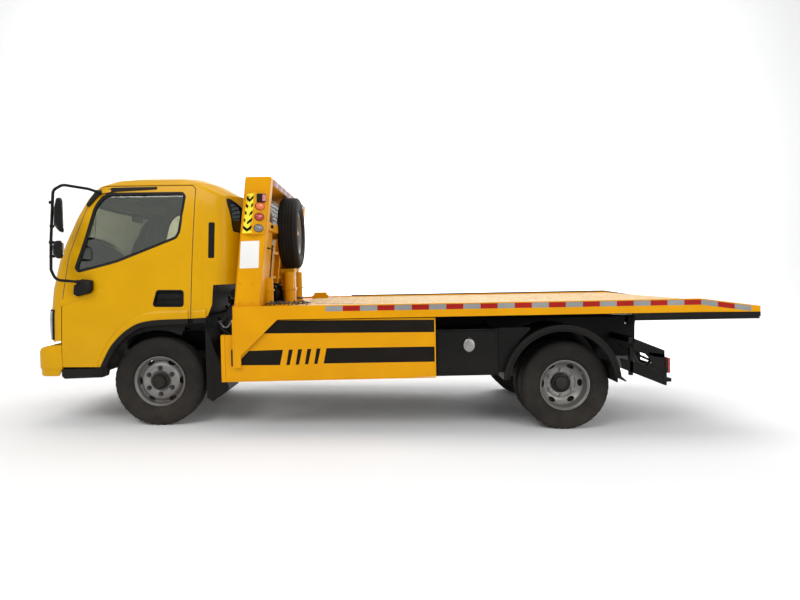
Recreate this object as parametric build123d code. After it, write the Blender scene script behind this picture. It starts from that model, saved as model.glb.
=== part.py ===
"""Flatbed tow truck: a tilt cab on a ladder frame, with a sliding and tilting recovery deck.

All sizes are millimetres.  Pieces are drawn in level chassis coordinates: x runs rearwards from
the front axle, y to the truck's right, z up from the ground under the front axle.  The unladen
body stands nose down, so every piece is turned by RAKE about the ground point under the front
axle, and then moved so that the origin lies on the ground under the middle of the length.
"""
from build123d import *
from math import asin, atan2, cos, degrees, hypot, radians, sin, sqrt
import os

# ---- driving dimensions ------------------------------------------------------------------
RAKE = 1.45                    # degrees, tail high
WHEELBASE = 3460
TYRE_R, TYRE_W = 377.5, 185    # 6.50R16 tyre
RIM_SEAT_R, RIM_FLANGE_R = 203, 215.5
FRONT_FACE_Y, REAR_FACE_Y = 875, 985   # outer faces of the front and the outer rear tyres
DUAL_PITCH = 215               # between the twin tyres' centres
KINGPIN_Y = 680
GAP = 6                        # clear space between pieces that move past one another

RAIL_Y, RAIL_W = 390, 70       # ladder frame: rail centre and width
RAIL_Z0, RAIL_Z1 = 590, 760
RAIL_X0, RAIL_X1 = -800, 4270
WALL = 8                       # frame and box section walls

CAB_HALF = 930
CAB_WALL = 40
CAB_PIVOT = (-900, 760)        # cab tilt axis, x and z
DOOR_HINGE_X = -772
DOOR_GAP = 6

DECK_HALF = 1150
DECK_X0, DECK_X1 = 718, 5039
DECK_RAIL_Z0, DECK_RAIL_Z1 = 908, 1018
FLOOR_Z = 1006
TAIL_X = 4544                  # the beaver tail starts here
TAIL_DROP = 70
SILL_Z0 = 852                  # underside of the deck's long sills
LASHING_X, LASHING_R = (1320, 4360), 20
LASHING_Y = DECK_HALF - 150
LOAD_X0 = 1180                 # the loading floor starts behind the winch bay

TILT_PIVOT = (4250, 790)       # rear pivot of the tilting frame, x and z
TILT_Z0, TILT_Z1 = 768, 846
SLIDE_AXIS_Z = 882             # slide cylinder
SLIDE_TRAVEL = 2800            # how far the deck slides back
CYL_BASE = (3150, 650)         # tilt cylinders: pivot on the ladder frame
CYL_EYE = (2350, 800)          # and the rod's eye under the tilting frame
CYL_Y = 200

SIDE = {"left": -1, "right": 1}


# ---- helpers -----------------------------------------------------------------------------
def box(x, y, z):
    """A block between two x, two y and two z values."""
    spans = [sorted(pair) for pair in (x, y, z)]
    return Pos(*(sum(s) / 2 for s in spans)) * Box(*(s[1] - s[0] for s in spans))


def side_slab(points, y0, y1):
    """A side-view outline of (x, z) points, as a slab from y0 to y1."""
    face = make_face(Polyline(*[(x, min(y0, y1), z) for x, z in points], close=True))
    return extrude(face, amount=abs(y1 - y0), dir=(0, 1, 0))


def plan_slab(points, z0, z1):
    """A plan outline of (x, y) points, as a slab from z0 to z1."""
    face = make_face(Polyline(*[(x, y, z0) for x, y in points], close=True))
    return extrude(face, amount=z1 - z0, dir=(0, 0, 1))


def front_slab(points, x0, x1):
    """A front-view outline of (y, z) points, as a slab from x0 to x1."""
    face = make_face(Polyline(*[(x0, y, z) for y, z in points], close=True))
    return extrude(face, amount=x1 - x0, dir=(1, 0, 0))


def bar(start, end, radius):
    """A round bar between two points."""
    run = Vector(*end) - Vector(*start)
    plane = Plane(origin=start, z_dir=run)
    return extrude(plane * Circle(radius), amount=run.length)


def tube(start, end, radius, bore):
    """A round tube between two points."""
    return bar(start, end, radius) - bar(start, end, bore)


def disc_y(x, z, y0, y1, radius):
    """A disc or shaft along Y."""
    return bar((x, y0, z), (x, y1, z), radius)


def flip(shape):
    """The same piece on the truck's other side."""
    return mirror(shape, about=Plane.XZ)


def both(shape):
    """A piece and its twin on the other side, as solids that don't touch."""
    return Compound(children=[*shape.solids(), *flip(shape).solids()])


def on_side(shape, side):
    """A left-hand piece, or its mirror image."""
    return shape if side == "left" else flip(shape)


def turned_y(profile, x, y, z):
    """Revolves an (offset along y, radius) outline about the lateral line through x, z."""
    points = [(r, y + offset) for offset, r in profile]
    face = make_face(Polyline(*[(a, b, 0) for a, b in points], close=True))
    return Pos(x, 0, z) * revolve(face, axis=Axis.Y, revolution_arc=360)


def chassis_point(x, z):
    """Chassis coordinates of a point given level with the ground."""
    c, s = cos(radians(RAKE)), sin(radians(RAKE))
    return x * c + z * s, z * c - x * s


FRONT_X, FRONT_Z = chassis_point(0, TYRE_R)
REAR_X, REAR_Z = chassis_point(WHEELBASE, TYRE_R)
nodes = {}


# ---- ladder frame ------------------------------------------------------------------------
def channel_rail():
    """The left rail: a channel open to the centre line."""
    y0, y1 = -RAIL_Y - RAIL_W / 2, -RAIL_Y + RAIL_W / 2
    rail = box((RAIL_X0, RAIL_X1), (y0, y1), (RAIL_Z0, RAIL_Z1))
    return rail - box((RAIL_X0 - 1, RAIL_X1 + 1), (y0 + WALL, y1 + 1),
                      (RAIL_Z0 + WALL, RAIL_Z1 - WALL))


def ladder_frame():
    cross_x = (-765, 1010, 1740, 2200, 3240, 3760, 4230)
    frame = channel_rail() + flip(channel_rail())
    reach = RAIL_Y + RAIL_W / 2 - WALL
    for x in cross_x:
        frame += box((x - 30, x + 30), (-reach, reach), (RAIL_Z0 + WALL, RAIL_Z0 + 100))
    ears = box((CYL_BASE[0] - 45, CYL_BASE[0] + 90), (-CYL_Y - 75, -CYL_Y - 60),
               (RAIL_Z0 + WALL, CYL_BASE[1] + 45))
    ears += ears.moved(Location((0, 135, 0)))
    pivot_ear = side_slab([(4190, RAIL_Z1 - 60), (4270, RAIL_Z1 - 60), (4285, TILT_PIVOT[1] + 35),
                           (4215, TILT_PIVOT[1] + 35)], -RAIL_Y - 62, -RAIL_Y - RAIL_W / 2)
    for ear in (ears, pivot_ear):
        frame += ear + flip(ear)
    pin = disc_y(TILT_PIVOT[0], TILT_PIVOT[1], -RAIL_Y - 62, -RAIL_Y + 20, 20)
    return frame + pin + flip(pin)


nodes["ladder_frame"] = ladder_frame()
nodes["engine_block"] = (box((-280, 480), (-250, 250), (500, 1000))
                         + box((480, 950), (-150, 150), (470, 660)))
nodes["propeller_shaft"] = bar((965, 0, 540), (REAR_X - 215, 0, REAR_Z + 42), 38)


# ---- axles, springs and steering knuckles -----------------------------------------------
def leaf_pack(x, z_seat, eye_z, half_length):
    """A left spring: three stacked leaves, straight from the seat to each eye."""
    y0, y1 = -RAIL_Y - 30, -RAIL_Y + 30
    pack = box((x - 70, x + 70), (y0, y1), (z_seat, z_seat + 70))
    for sign in (-1, 1):
        tip = x + sign * half_length
        pack += side_slab([(x + sign * 60, z_seat + 30), (x + sign * 60, z_seat + 70),
                           (tip, eye_z + 10), (tip, eye_z - 6)], y0, y1)
        pack += disc_y(tip, eye_z, y0, y1, 26)
        pack += box((tip - 22, tip + 22), (y0, y1), (eye_z, RAIL_Z0))
    return pack


def front_axle():
    end_y = KINGPIN_Y - 45
    beam = box((FRONT_X - 35, FRONT_X + 35), (-470, 470), (FRONT_Z - 90, FRONT_Z - 20))
    for sign in (-1, 1):
        beam += front_slab([(sign * 440, FRONT_Z - 90), (sign * 470, FRONT_Z - 20),
                            (sign * end_y, FRONT_Z + 38), (sign * end_y, FRONT_Z - 38)],
                           FRONT_X - 32, FRONT_X + 32)
        beam += Pos(FRONT_X, sign * KINGPIN_Y, FRONT_Z) * Cylinder(34, 76)
        beam += box((FRONT_X - 30, FRONT_X + 30),
                    (sign * end_y, sign * (KINGPIN_Y - 5)), (FRONT_Z - 37, FRONT_Z + 37))
    return beam


def rear_axle():
    reach = REAR_FACE_Y - DUAL_PITCH - TYRE_W + 10
    axle = bar((REAR_X, -reach, REAR_Z), (REAR_X, reach, REAR_Z), 58)
    axle += Pos(REAR_X, 0, REAR_Z) * Sphere(165)
    axle += bar((REAR_X - 200, 0, REAR_Z + 40), (REAR_X - 100, 0, REAR_Z + 20), 60)
    return axle


nodes["front_axle_beam"] = front_axle()
nodes["rear_axle_housing"] = rear_axle()
nodes["front_springs"] = both(leaf_pack(FRONT_X, FRONT_Z - 19, 545, 560))
nodes["rear_springs"] = both(leaf_pack(REAR_X, REAR_Z + 59, 540, 590))


def knuckle():
    """The left knuckle: a fork round the beam's boss, with the wheel spindle."""
    y = -KINGPIN_Y
    fork = box((FRONT_X - 30, FRONT_X + 30), (y - 62, y - 40), (FRONT_Z - 85, FRONT_Z + 85))
    for sign in (-1, 1):
        z0 = FRONT_Z + sign * 44
        fork += box((FRONT_X - 30, FRONT_X + 30), (y - 62, y + 30), (z0, z0 + sign * 41))
    return fork + disc_y(FRONT_X, FRONT_Z, y - 100, y - 61, 34)


# ---- wheels ------------------------------------------------------------------------------
RIM_HALF = TYRE_W / 2 - 27     # half the rim's width
FLANGE_W = 10


def tyre(x, y, z, radius=TYRE_R, flange=RIM_FLANGE_R):
    """A closed tyre body: tread, shoulders, side walls and beads."""
    half, seat = TYRE_W / 2, flange - (RIM_FLANGE_R - RIM_SEAT_R)
    wall = radius - flange
    side = [  # offset from the middle, radius
        (half - 36, radius), (half - 24, radius - 8), (half - 8, radius - wall * 0.2),
        (half, radius - wall * 0.48), (half - 12, flange + 25), (RIM_HALF + 1, flange + 3),
        (RIM_HALF - FLANGE_W - 2, flange + 3), (RIM_HALF - FLANGE_W - 6, seat + 1)]
    return turned_y(side + [(-a, r) for a, r in reversed(side)], x, y, z)


def rim(x, y, z, out, dish, flange=RIM_FLANGE_R):
    """A steel rim with a disc; out is -1 or 1 for the outer side, dish is the disc's offset."""
    half, seat = RIM_HALF, flange - (RIM_FLANGE_R - RIM_SEAT_R)
    side = [(half - FLANGE_W - 4, seat), (half - FLANGE_W, flange), (half, flange)]
    inner = [(half, flange - 10), (half - 5, seat - 9)]
    barrel = [(-a, r) for a, r in reversed(side)] + side + inner
    barrel += [(-a, r) for a, r in reversed(inner)]
    whole = turned_y(barrel, x, y, z)
    d = out * dish
    disc = [(d - out * 30, seat - 8), (d - out * 30, seat - 20), (d, seat - 53), (d, 1),
            (d - out * 12, 1), (d - out * 12, seat - 57), (d - out * 44, seat - 20),
            (d - out * 44, seat - 8)]
    disc = turned_y(disc, x, y, z)
    for k in range(6):
        a = radians(60 * k)
        px, pz = x + (seat - 38) * cos(a), z + (seat - 38) * sin(a)
        disc -= disc_y(px, pz, y + d - 60, y + d + 60, 20)
    return whole + disc


def front_wheel():
    """Left front wheel: tyre, and rim with its hub."""
    y = -FRONT_FACE_Y + TYRE_W / 2
    steel = rim(FRONT_X, y, FRONT_Z, -1, 40)
    hub_inner = -KINGPIN_Y - 100 - GAP
    steel += disc_y(FRONT_X, FRONT_Z, y - 41, hub_inner, 100)
    steel += disc_y(FRONT_X, FRONT_Z, y - 95, y - 39, 62)
    return tyre(FRONT_X, y, FRONT_Z), steel


def rear_wheel():
    """Left rear twin wheels: two tyres, and two rims joined by the hub."""
    y_out = -REAR_FACE_Y + TYRE_W / 2
    y_in = y_out + DUAL_PITCH
    tyres = Compound(children=[tyre(REAR_X, y, REAR_Z).solid() for y in (y_out, y_in)])
    steel = rim(REAR_X, y_out, REAR_Z, 1, 60) + rim(REAR_X, y_in, REAR_Z, -1, 60)
    steel += disc_y(REAR_X, REAR_Z, y_out + 47, y_in - 47, 130)
    steel += disc_y(REAR_X, REAR_Z, y_out - 70, y_out + 62, 85)
    return tyres, steel


for side in SIDE:
    nodes[f"knuckle_{side}"] = on_side(knuckle(), side)
    for place, wheel in (("front", front_wheel), ("rear", rear_wheel)):
        rubber, steel = wheel()
        nodes[f"{place}_tyre_{side}"] = on_side(rubber, side)
        nodes[f"{place}_rim_{side}"] = on_side(steel, side)


# ---- cab ---------------------------------------------------------------------------------
CAB_LEVELS = [  # z, front x on the centre line, half width, rear x, corner radius, rear radius
    (500, -985, CAB_HALF - 5, 733, 180, 212),
    (960, -983, CAB_HALF, 733, 180, 212),
    (1173, -957, CAB_HALF, 733, 180, 212),
    (1411, -898, CAB_HALF - 2, 733, 180, 212),
    (1580, -833, CAB_HALF - 10, 733, 180, 212),
    (1783, -741, CAB_HALF - 27, 733, 180, 212),
    (1944, -648, CAB_HALF - 45, 733, 180, 212),
    (2040, -560, CAB_HALF - 68, 560, 175, 205),
    (2088, -440, CAB_HALF - 115, 430, 170, 200),
    (2118, -290, CAB_HALF - 230, 380, 160, 190),
    (2140, -200, CAB_HALF - 410, 310, 150, 180)]
BOW_R = 4000                   # plan radius of the front face


def plan_ring(front, half, rear, corner, rear_corner, z, bow=BOW_R):
    """A closed plan outline: bowed front, round corners, straight sides and back."""
    centre = front + bow
    px = centre - sqrt((bow - corner) ** 2 - (half - corner) ** 2)
    turn = atan2(half - corner, centre - px)
    tx, ty = centre - bow * cos(turn), bow * sin(turn)
    mid = turn / 2 + radians(45)
    mx, my = px - corner * cos(mid), half - corner + corner * sin(mid)
    rx, ry = rear - rear_corner, half - rear_corner
    q = rear_corner * sqrt(0.5)
    edges = [ThreePointArc((tx, -ty, z), (front, 0, z), (tx, ty, z)),
             ThreePointArc((tx, ty, z), (mx, my, z), (px, half, z)),
             Line((px, half, z), (rx, half, z)),
             ThreePointArc((rx, half, z), (rx + q, ry + q, z), (rear, ry, z)),
             Line((rear, ry, z), (rear, -ry, z)),
             ThreePointArc((rear, -ry, z), (rx + q, -ry - q, z), (rx, -half, z)),
             Line((rx, -half, z), (px, -half, z)),
             ThreePointArc((px, -half, z), (mx, -my, z), (tx, -ty, z))]
    return make_face(edges)


def cab_body(inset):
    """The cab's outer form, drawn in by a wall thickness."""
    rings = [plan_ring(front + inset, half - inset, rear - inset, corner - inset * 0.8,
                       back - inset * 0.8, z - (inset if z > 2000 else 0))
             for z, front, half, rear, corner, back in CAB_LEVELS]
    return loft(rings, ruled=True)


ARCH = [(-450, 520), (-348, 706), (-194, 846), (-26, 902), (308, 914)]   # wheel arch edge
UNDERSIDE = [(-1200, 745), (DOOR_HINGE_X, 745), (DOOR_HINGE_X, 522)] + ARCH + [
    (455, 935), (494, 1030), (507, 1195), (900, 1207)]
CABIN_FLOOR = [(-1200, 1000), (-880, 1000), (-750, 800), (-750, 560), (-480, 560), (-385, 735),
               (-215, 880), (-30, 938), (446, 966), (467, 1236), (900, 1248)]
DOOR_OUTLINE = [(DOOR_HINGE_X, 527), (-452, 522), (-350, 708), (-196, 848), (-28, 904),
                (308, 916), (367, 2005), (340, 2034), (-400, 2034), (-502, 1950), (-675, 1464),
                (-749, 1049)]
DOOR_WINDOW = [(-628, 1356), (-605, 1322), (-287, 1401), (209, 1594), (236, 1644), (283, 1945),
               (262, 1975), (-375, 1975), (-461, 1879), (-545, 1588)]


def under_cut(points):
    """Everything below an underside line."""
    x0, x1 = points[0][0], points[-1][0]
    return side_slab(points + [(x1, 300), (x0, 300)], -1300, 1300)


def outline_grown(points, amount, y0, y1):
    """A side-view slab whose outline is offset outwards (or inwards, below zero)."""
    wire = Polyline(*[(x, 0, z) for x, z in points], close=True)
    face = make_face(wire)
    grown = offset(face, amount=amount, kind=Kind.INTERSECTION)
    return Pos(0, min(y0, y1), 0) * extrude(grown, amount=abs(y1 - y0), dir=(0, 1, 0))


ENGINE_ROOM = 268              # half width of the room over the engine
TUNNEL_WALL = 30


def tunnel(grow):
    """Room under the cab for the ladder frame and the engine."""
    rail_room = RAIL_Y + RAIL_W / 2 + 20 + grow
    return (box((-1200, 900), (-rail_room, rail_room), (300, RAIL_Z1 + 25 + grow))
            + box((-320 - grow, 900), (-ENGINE_ROOM - grow, ENGINE_ROOM + grow),
                  (300, 1018 + grow)))


CAB_OUTER = cab_body(0) - under_cut(UNDERSIDE) - tunnel(0)
CAB_INNER = cab_body(CAB_WALL) - under_cut(CABIN_FLOOR) - tunnel(TUNNEL_WALL)
DOOR_ROOM = cab_body(CAB_WALL + GAP)


SCREEN_LOW, SCREEN_TOP = CAB_HALF - 150, CAB_HALF - 200   # half widths of the windscreen


def windscreen_cut(inset):
    return front_slab([(-SCREEN_LOW + inset, 1290 + inset), (SCREEN_LOW - inset, 1290 + inset),
                       (SCREEN_TOP - inset, 1925 - inset), (-SCREEN_TOP + inset, 1925 - inset)],
                      -1300, -350)


def rear_cut(inset):
    return front_slab([(-520 + inset, 1420 + inset), (520 - inset, 1420 + inset),
                       (500 - inset, 1840 - inset), (-500 + inset, 1840 - inset)], 650, 900)


def quarter_cut(inset):
    """The small window in the rounded left rear corner."""
    out, inner = CAB_HALF - 68, CAB_HALF - 200
    outline = [(-out + 9 + inset, 1648 + inset), (-inner - inset, 1618 + inset),
               (-inner - inset, 1846 - inset), (-out + inset, 1928 - inset)]
    return front_slab(outline, 560, 900)


def cab_shell():
    shell = CAB_OUTER - CAB_INNER
    for y in (-1200, 1200):
        shell -= outline_grown(DOOR_OUTLINE, DOOR_GAP, y, y / 2) - DOOR_ROOM
    shell -= windscreen_cut(0)
    shell -= rear_cut(0)
    shell -= quarter_cut(0)
    shell -= flip(quarter_cut(0))
    return shell


def door():
    """The left door: a frame with its window cut, as thick as the cab's wall."""
    skin = CAB_OUTER - CAB_INNER_DOOR
    panel = skin & outline_grown(DOOR_OUTLINE, 0, -1200, -600)
    return panel - outline_grown(DOOR_WINDOW, 0, -1200, -500)


def door_glass():
    pane = (GLASS_OUTER - GLASS_INNER) & outline_grown(DOOR_WINDOW, -1, -1200, -600)
    return pane


CAB_INNER_DOOR = cab_body(CAB_WALL)
GLASS_OUTER = cab_body(14)
GLASS_INNER = cab_body(20)

nodes["cab_shell"] = cab_shell()
PANES = GLASS_OUTER - GLASS_INNER
nodes["windscreen"] = PANES & windscreen_cut(1)
nodes["cab_rear_glass"] = Compound(children=[
    *(PANES & rear_cut(1)).solids(), *(PANES & quarter_cut(1)).solids(),
    *(PANES & flip(quarter_cut(1))).solids()])
for side in SIDE:
    nodes[f"door_{side}"] = on_side(door(), side)
    nodes[f"door_glass_{side}"] = on_side(door_glass(), side)


def headlamp():
    """Left headlamp, wrapped round the cab's front corner."""
    ring = cab_body(-6) - cab_body(-1)
    return ring & box((-1100, -800), (-CAB_HALF - 30, -CAB_HALF + 290), (760, 1018))


nodes["headlamps"] = both(headlamp())
nodes["grille"] = (cab_body(-8) - cab_body(-1)) & box(
    (-1100, -800), (330 - CAB_HALF, CAB_HALF - 330), (775, 990))
seat_y = (-CAB_HALF + 150, -ENGINE_ROOM - TUNNEL_WALL - 12)
seat = box((-160, 330), seat_y, (960, 1160)) + box((240, 350), seat_y, (1160, 1760))
nodes["seats"] = both(seat)
nodes["dashboard"] = side_slab([(-840, 1010), (-560, 1010), (-480, 1150), (-560, 1280),
                                (-790, 1270)], 150 - CAB_HALF, CAB_HALF - 150)
driver_y = -CAB_HALF + 510
helm = Pos(-330, driver_y, 1330) * Rot(0, -52, 0)
nodes["steering_wheel"] = (bar((-480, driver_y, 1213), (-330, driver_y, 1330), 20)
                           + helm * Cylinder(30, 30) + helm * Torus(200, 14)
                           + helm * Box(390, 30, 14))


MIRROR_TURN = 24                                            # degrees, towards the driver
MIRROR_HEADS = [(-668, 1776, 176, 284), (-688, 1502, 150, 150)]   # x, z, width, height


def mirror_left():
    out = -CAB_HALF - 170
    path = [(-405, out + 194, 1975), (-641, out + 40, 2026), (-698, out, 1979), (-738, out, 1400),
            (-702, out, 1258), (-543, out + 140, 1235)]
    arm = bar(path[0], path[1], 11)
    for a, b in zip(path[1:], path[2:]):
        arm += bar(a, b, 11) + Pos(*a) * Sphere(13)
    arm += box((-627, -479), (out + 115, out + 169), (1123, 1253))
    arm += box((-440, -370), (out + 175, out + 213), (1945, 2005))
    for x, z, wide, tall in MIRROR_HEADS:
        arm += Pos(x, out - 10, z) * Rot(0, 0, MIRROR_TURN) * Box(64, wide, tall)
    return arm


for side in SIDE:
    nodes[f"mirror_{side}"] = on_side(mirror_left(), side)


# ---- pieces fixed to the frame -----------------------------------------------------------
BUMPER_X, BUMPER_Z0, BUMPER_Z1, BUMPER_WALL = -1030, 450, 717, 22
BUMPER_BOW_R, BUMPER_CORNER_R = 9000, 110


def bumper_ring(inset):
    return plan_ring(BUMPER_X + inset, CAB_HALF - inset, 400, BUMPER_CORNER_R - inset, 100,
                     BUMPER_Z0, BUMPER_BOW_R)


def bumper():
    tall = BUMPER_Z1 - BUMPER_Z0
    shell = extrude(bumper_ring(0), amount=tall) - extrude(bumper_ring(BUMPER_WALL), amount=tall)
    shell = shell & box((BUMPER_X - 50, DOOR_HINGE_X - 10), (-CAB_HALF - 50, CAB_HALF + 50),
                        (BUMPER_Z0 - 10, BUMPER_Z1 + 3))
    bracket = box((BUMPER_X + BUMPER_WALL + 4, RAIL_X0), (-RAIL_Y - 25, -RAIL_Y + 25), (600, 665))
    shell += box((BUMPER_X + BUMPER_WALL - 2, BUMPER_X + BUMPER_WALL + 34), (-RAIL_Y - 60,
                 RAIL_Y + 60), (600, 665))
    return shell + bracket + flip(bracket)


SKIRT_Y = DECK_HALF - 30
SKIRT_X0, SKIRT_X1, SKIRT_Z0, SKIRT_Z1 = 608, 2355, 405, 900


def skirt():
    """Left side guard: a plate with a turned front post."""
    post_top = 788
    plate = side_slab([(SKIRT_X0, SKIRT_Z0), (SKIRT_X1, SKIRT_Z0 + 10), (SKIRT_X1, SKIRT_Z1),
                       (DECK_X0, SKIRT_Z1), (DECK_X0, post_top), (SKIRT_X0, post_top)],
                      -SKIRT_Y, -SKIRT_Y + 8)
    post = box((SKIRT_X0, SKIRT_X0 + 8), (-SKIRT_Y, -SKIRT_Y + 120), (SKIRT_Z0, post_top))
    whole = plate + post
    for x in (760, 1270, 1780, 2290):
        whole += box((x, x + 50), (-SKIRT_Y + 8, -RAIL_Y - RAIL_W / 2), (640, 690))
    return whole


BOX_X0, BOX_X1, BOX_Z0, BOX_Z1 = 2356, 2880, 410, 790


def side_box():
    """Left tank box, with its round filler."""
    face_y = -DECK_HALF + 70
    body = box((BOX_X0, BOX_X1), (face_y, -560), (BOX_Z0, BOX_Z1))
    body += disc_y(2634, 664, face_y - 16, face_y, 62)
    for x in (2450, 2740):
        body += box((x, x + 50), (-560, -RAIL_Y - RAIL_W / 2), (620, 680))
    return body


FENDER_X, FENDER_Z, FENDER_R = REAR_X - 63.4, 325, 490


def fender():
    """Left rear fender: an arched plate with a side lip."""
    y0, y1, plate, lip = -DECK_HALF + 40, -590, 10, 50

    def disc(radius, a, b):
        return disc_y(FENDER_X, FENDER_Z, a, b, radius)
    arch = disc(FENDER_R, y0, y1) - disc(FENDER_R - plate, y0 - 1, y1 + 1)
    arch += disc(FENDER_R, y0, y0 + 10) - disc(FENDER_R - lip, y0 - 1, y0 + 11)
    arch = arch & box((FENDER_X - 600, FENDER_X + 600), (y0 - 1, y1 + 1), (370, 900))
    stay = box((FENDER_X - 25, FENDER_X + 25), (y1 - 150, -RAIL_Y - RAIL_W / 2), (770, 807))
    stay += box((FENDER_X - 25, FENDER_X + 25), (-RAIL_Y - RAIL_W / 2 - 20,
                -RAIL_Y - RAIL_W / 2), (690, 800))
    return arch + stay


def mudguard():
    """Left front mudguard behind the wheel, with its flap."""
    back = side_slab([(424, 815), (434, 830), (610, 330), (610, 300), (470, 205), (424, 245)],
                     -910, -560)
    hollow = side_slab([(434, 800), (600, 320), (600, 305), (468, 215), (434, 250)], -900, -559)
    arm = box((424, 470), (-562, -RAIL_Y - RAIL_W / 2), (640, 690))
    return (back - hollow) + arm


def underrun():
    beam = box((4335, 4350), (-950, 950), (269, 420)) + box((4350, 4390), (-950, 950), (300, 330))
    hanger = side_slab([(4200, RAIL_Z0 + 60), (4265, RAIL_Z0 + 60), (4336, 480), (4336, 300),
                        (4290, 300), (4290, 470), (4200, 560)],
                       -RAIL_Y - 35 - 10, -RAIL_Y - 35)
    return beam + hanger + flip(hanger)


nodes["front_bumper"] = bumper()
nodes["rear_fenders"] = both(fender())
nodes["front_mudguards"] = both(mudguard())
nodes["underrun_beam"] = underrun()
nodes["rear_lamps"] = both(box((4350.5, 4385), (-940, -640), (374, 504)))
for side in SIDE:
    nodes[f"side_guard_{side}"] = on_side(skirt(), side)
    nodes[f"side_box_{side}"] = on_side(side_box(), side)
    step = side_slab([(-776, 449), (-776, 507), (-440, 507), (-430, 486), (-437, 433),
                      (-754, 427)], -CAB_HALF + 5, -CAB_HALF + 130)
    step += box((-650, -590), (-CAB_HALF + 129, -RAIL_Y - RAIL_W / 2), (470, 505))
    step += box((-650, -590), (-RAIL_Y - RAIL_W / 2 - 10, -RAIL_Y - RAIL_W / 2), (470, 640))
    nodes[f"cab_step_{side}"] = on_side(step, side)


# ---- tilting frame and its cylinders ----------------------------------------------------
def tilting_frame():
    rail = box((1150, TILT_PIVOT[0] + 40), (-RAIL_Y - RAIL_W / 2 + GAP, -RAIL_Y + RAIL_W / 2),
               (TILT_Z0, TILT_Z1))
    rail -= box((1140, TILT_PIVOT[0] - 120), (-RAIL_Y - RAIL_W / 2 + GAP + WALL,
                -RAIL_Y + RAIL_W / 2 - WALL), (TILT_Z0 + WALL, TILT_Z1 - WALL))
    rail -= disc_y(TILT_PIVOT[0], TILT_PIVOT[1], -RAIL_Y - 60, -RAIL_Y + 60, 20.5)
    frame = rail + flip(rail)
    inner = RAIL_Y - RAIL_W / 2 + 1
    for x in (1170, 1740, 2240, 3300, 3760, 4130):
        frame += box((x - 25, x + 25), (-inner, inner), (TILT_Z0, TILT_Z1 - 10))
    ear = side_slab([(2265, TILT_Z0), (CYL_EYE[0] + 40, TILT_Z0), (CYL_EYE[0] + 40, 836),
                     (2265, 836)], -CYL_Y - 50, -CYL_Y - 36)
    ear += ear.moved(Location((0, 86, 0)))
    frame += ear + flip(ear)
    for x in (1170, 4130):
        frame += box((x - 25, x + 25), (-60, 60), (TILT_Z1 - 12, SLIDE_AXIS_Z - 10))
    return frame - bar((1100, 0, SLIDE_AXIS_Z), (4200, 0, SLIDE_AXIS_Z), 32.2)


BARREL_X0 = 1145
BARREL_X1 = BARREL_X0 + SLIDE_TRAVEL + 210


def slide_barrel():
    y, z = 0, SLIDE_AXIS_Z
    barrel = tube((BARREL_X0, y, z), (BARREL_X1, y, z), 32, 24)
    return barrel + bar((BARREL_X0 - 20, y, z), (BARREL_X0 + 20, y, z), 32)


def toward(start, end, distance):
    """A point on the way from start to end, in the plane y = constant."""
    run = hypot(end[0] - start[0], end[1] - start[1])
    return (start[0] + (end[0] - start[0]) * distance / run,
            start[1] + (end[1] - start[1]) * distance / run)


def tilt_cylinder():
    """Left tilt cylinder: barrel with its base eye, and rod with its top eye."""
    y = -CYL_Y
    length = hypot(CYL_EYE[0] - CYL_BASE[0], CYL_EYE[1] - CYL_BASE[1])
    at = [toward(CYL_BASE, CYL_EYE, d) for d in (60, 560, 90, length - 20)]
    p = [(x, y, z) for x, z in at]
    barrel = bar(p[0], p[1], 50) - bar(p[2], (at[1][0] * 2 - at[0][0], y, at[1][1] * 2 - at[0][1]),
                                       38)
    base_eye = disc_y(CYL_BASE[0], CYL_BASE[1], y - 54, y + 54, 34)
    barrel += base_eye + bar((CYL_BASE[0], y, CYL_BASE[1]), p[2], 32)
    rod = bar((toward(CYL_BASE, CYL_EYE, 120)[0], y, toward(CYL_BASE, CYL_EYE, 120)[1]), p[3], 28)
    rod += disc_y(CYL_EYE[0], CYL_EYE[1], y - 28, y + 28, 34)
    rod -= disc_y(CYL_EYE[0], CYL_EYE[1], y - 40, y + 40, 18)
    return barrel, rod


nodes["tilting_frame"] = tilting_frame()
nodes["slide_cylinder_barrel"] = slide_barrel()
barrel, rod = tilt_cylinder()
nodes["tilt_cylinder_barrels"] = both(barrel)
nodes["tilt_cylinder_rods"] = both(rod)


# ---- deck ---------------------------------------------------------------------------------
def deck_side():
    """The left edge rail, long sill, tail stiffener and front gusset."""
    rail = side_slab([(DECK_X0, DECK_RAIL_Z0), (TAIL_X, DECK_RAIL_Z0), (DECK_X1, DECK_RAIL_Z0 - 6),
                      (DECK_X1, DECK_RAIL_Z1 - TAIL_DROP), (TAIL_X, DECK_RAIL_Z1),
                      (DECK_X0, DECK_RAIL_Z1)],
                     -DECK_HALF, -DECK_HALF + 60)
    rail -= box((DECK_X0 + WALL, TAIL_X), (-DECK_HALF + WALL, -DECK_HALF + 52),
                (DECK_RAIL_Z0 + WALL, DECK_RAIL_Z1 - 20))
    sill = side_slab([(DECK_X0 + 40, SILL_Z0), (4400, SILL_Z0), (DECK_X1 - 20, 880),
                      (DECK_X1 - 20, FLOOR_Z - TAIL_DROP - 4), (TAIL_X, FLOOR_Z - 4),
                      (DECK_X0 + 40, FLOOR_Z - 4)], -RAIL_Y - 40, -RAIL_Y + 40)
    stiff = side_slab([(3983, DECK_RAIL_Z0 + 2), (4030, 851), (5000, 846), (DECK_X1, 870),
                       (DECK_X1, 905)], -DECK_HALF + 20, -DECK_HALF + 60)
    gusset = side_slab([(708, 522), (772, 522), (774, 620), (1071, 906), (1071, 915),
                        (708, 915)], -DECK_HALF, -DECK_HALF + 12)
    return rail + sill + stiff + gusset


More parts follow.
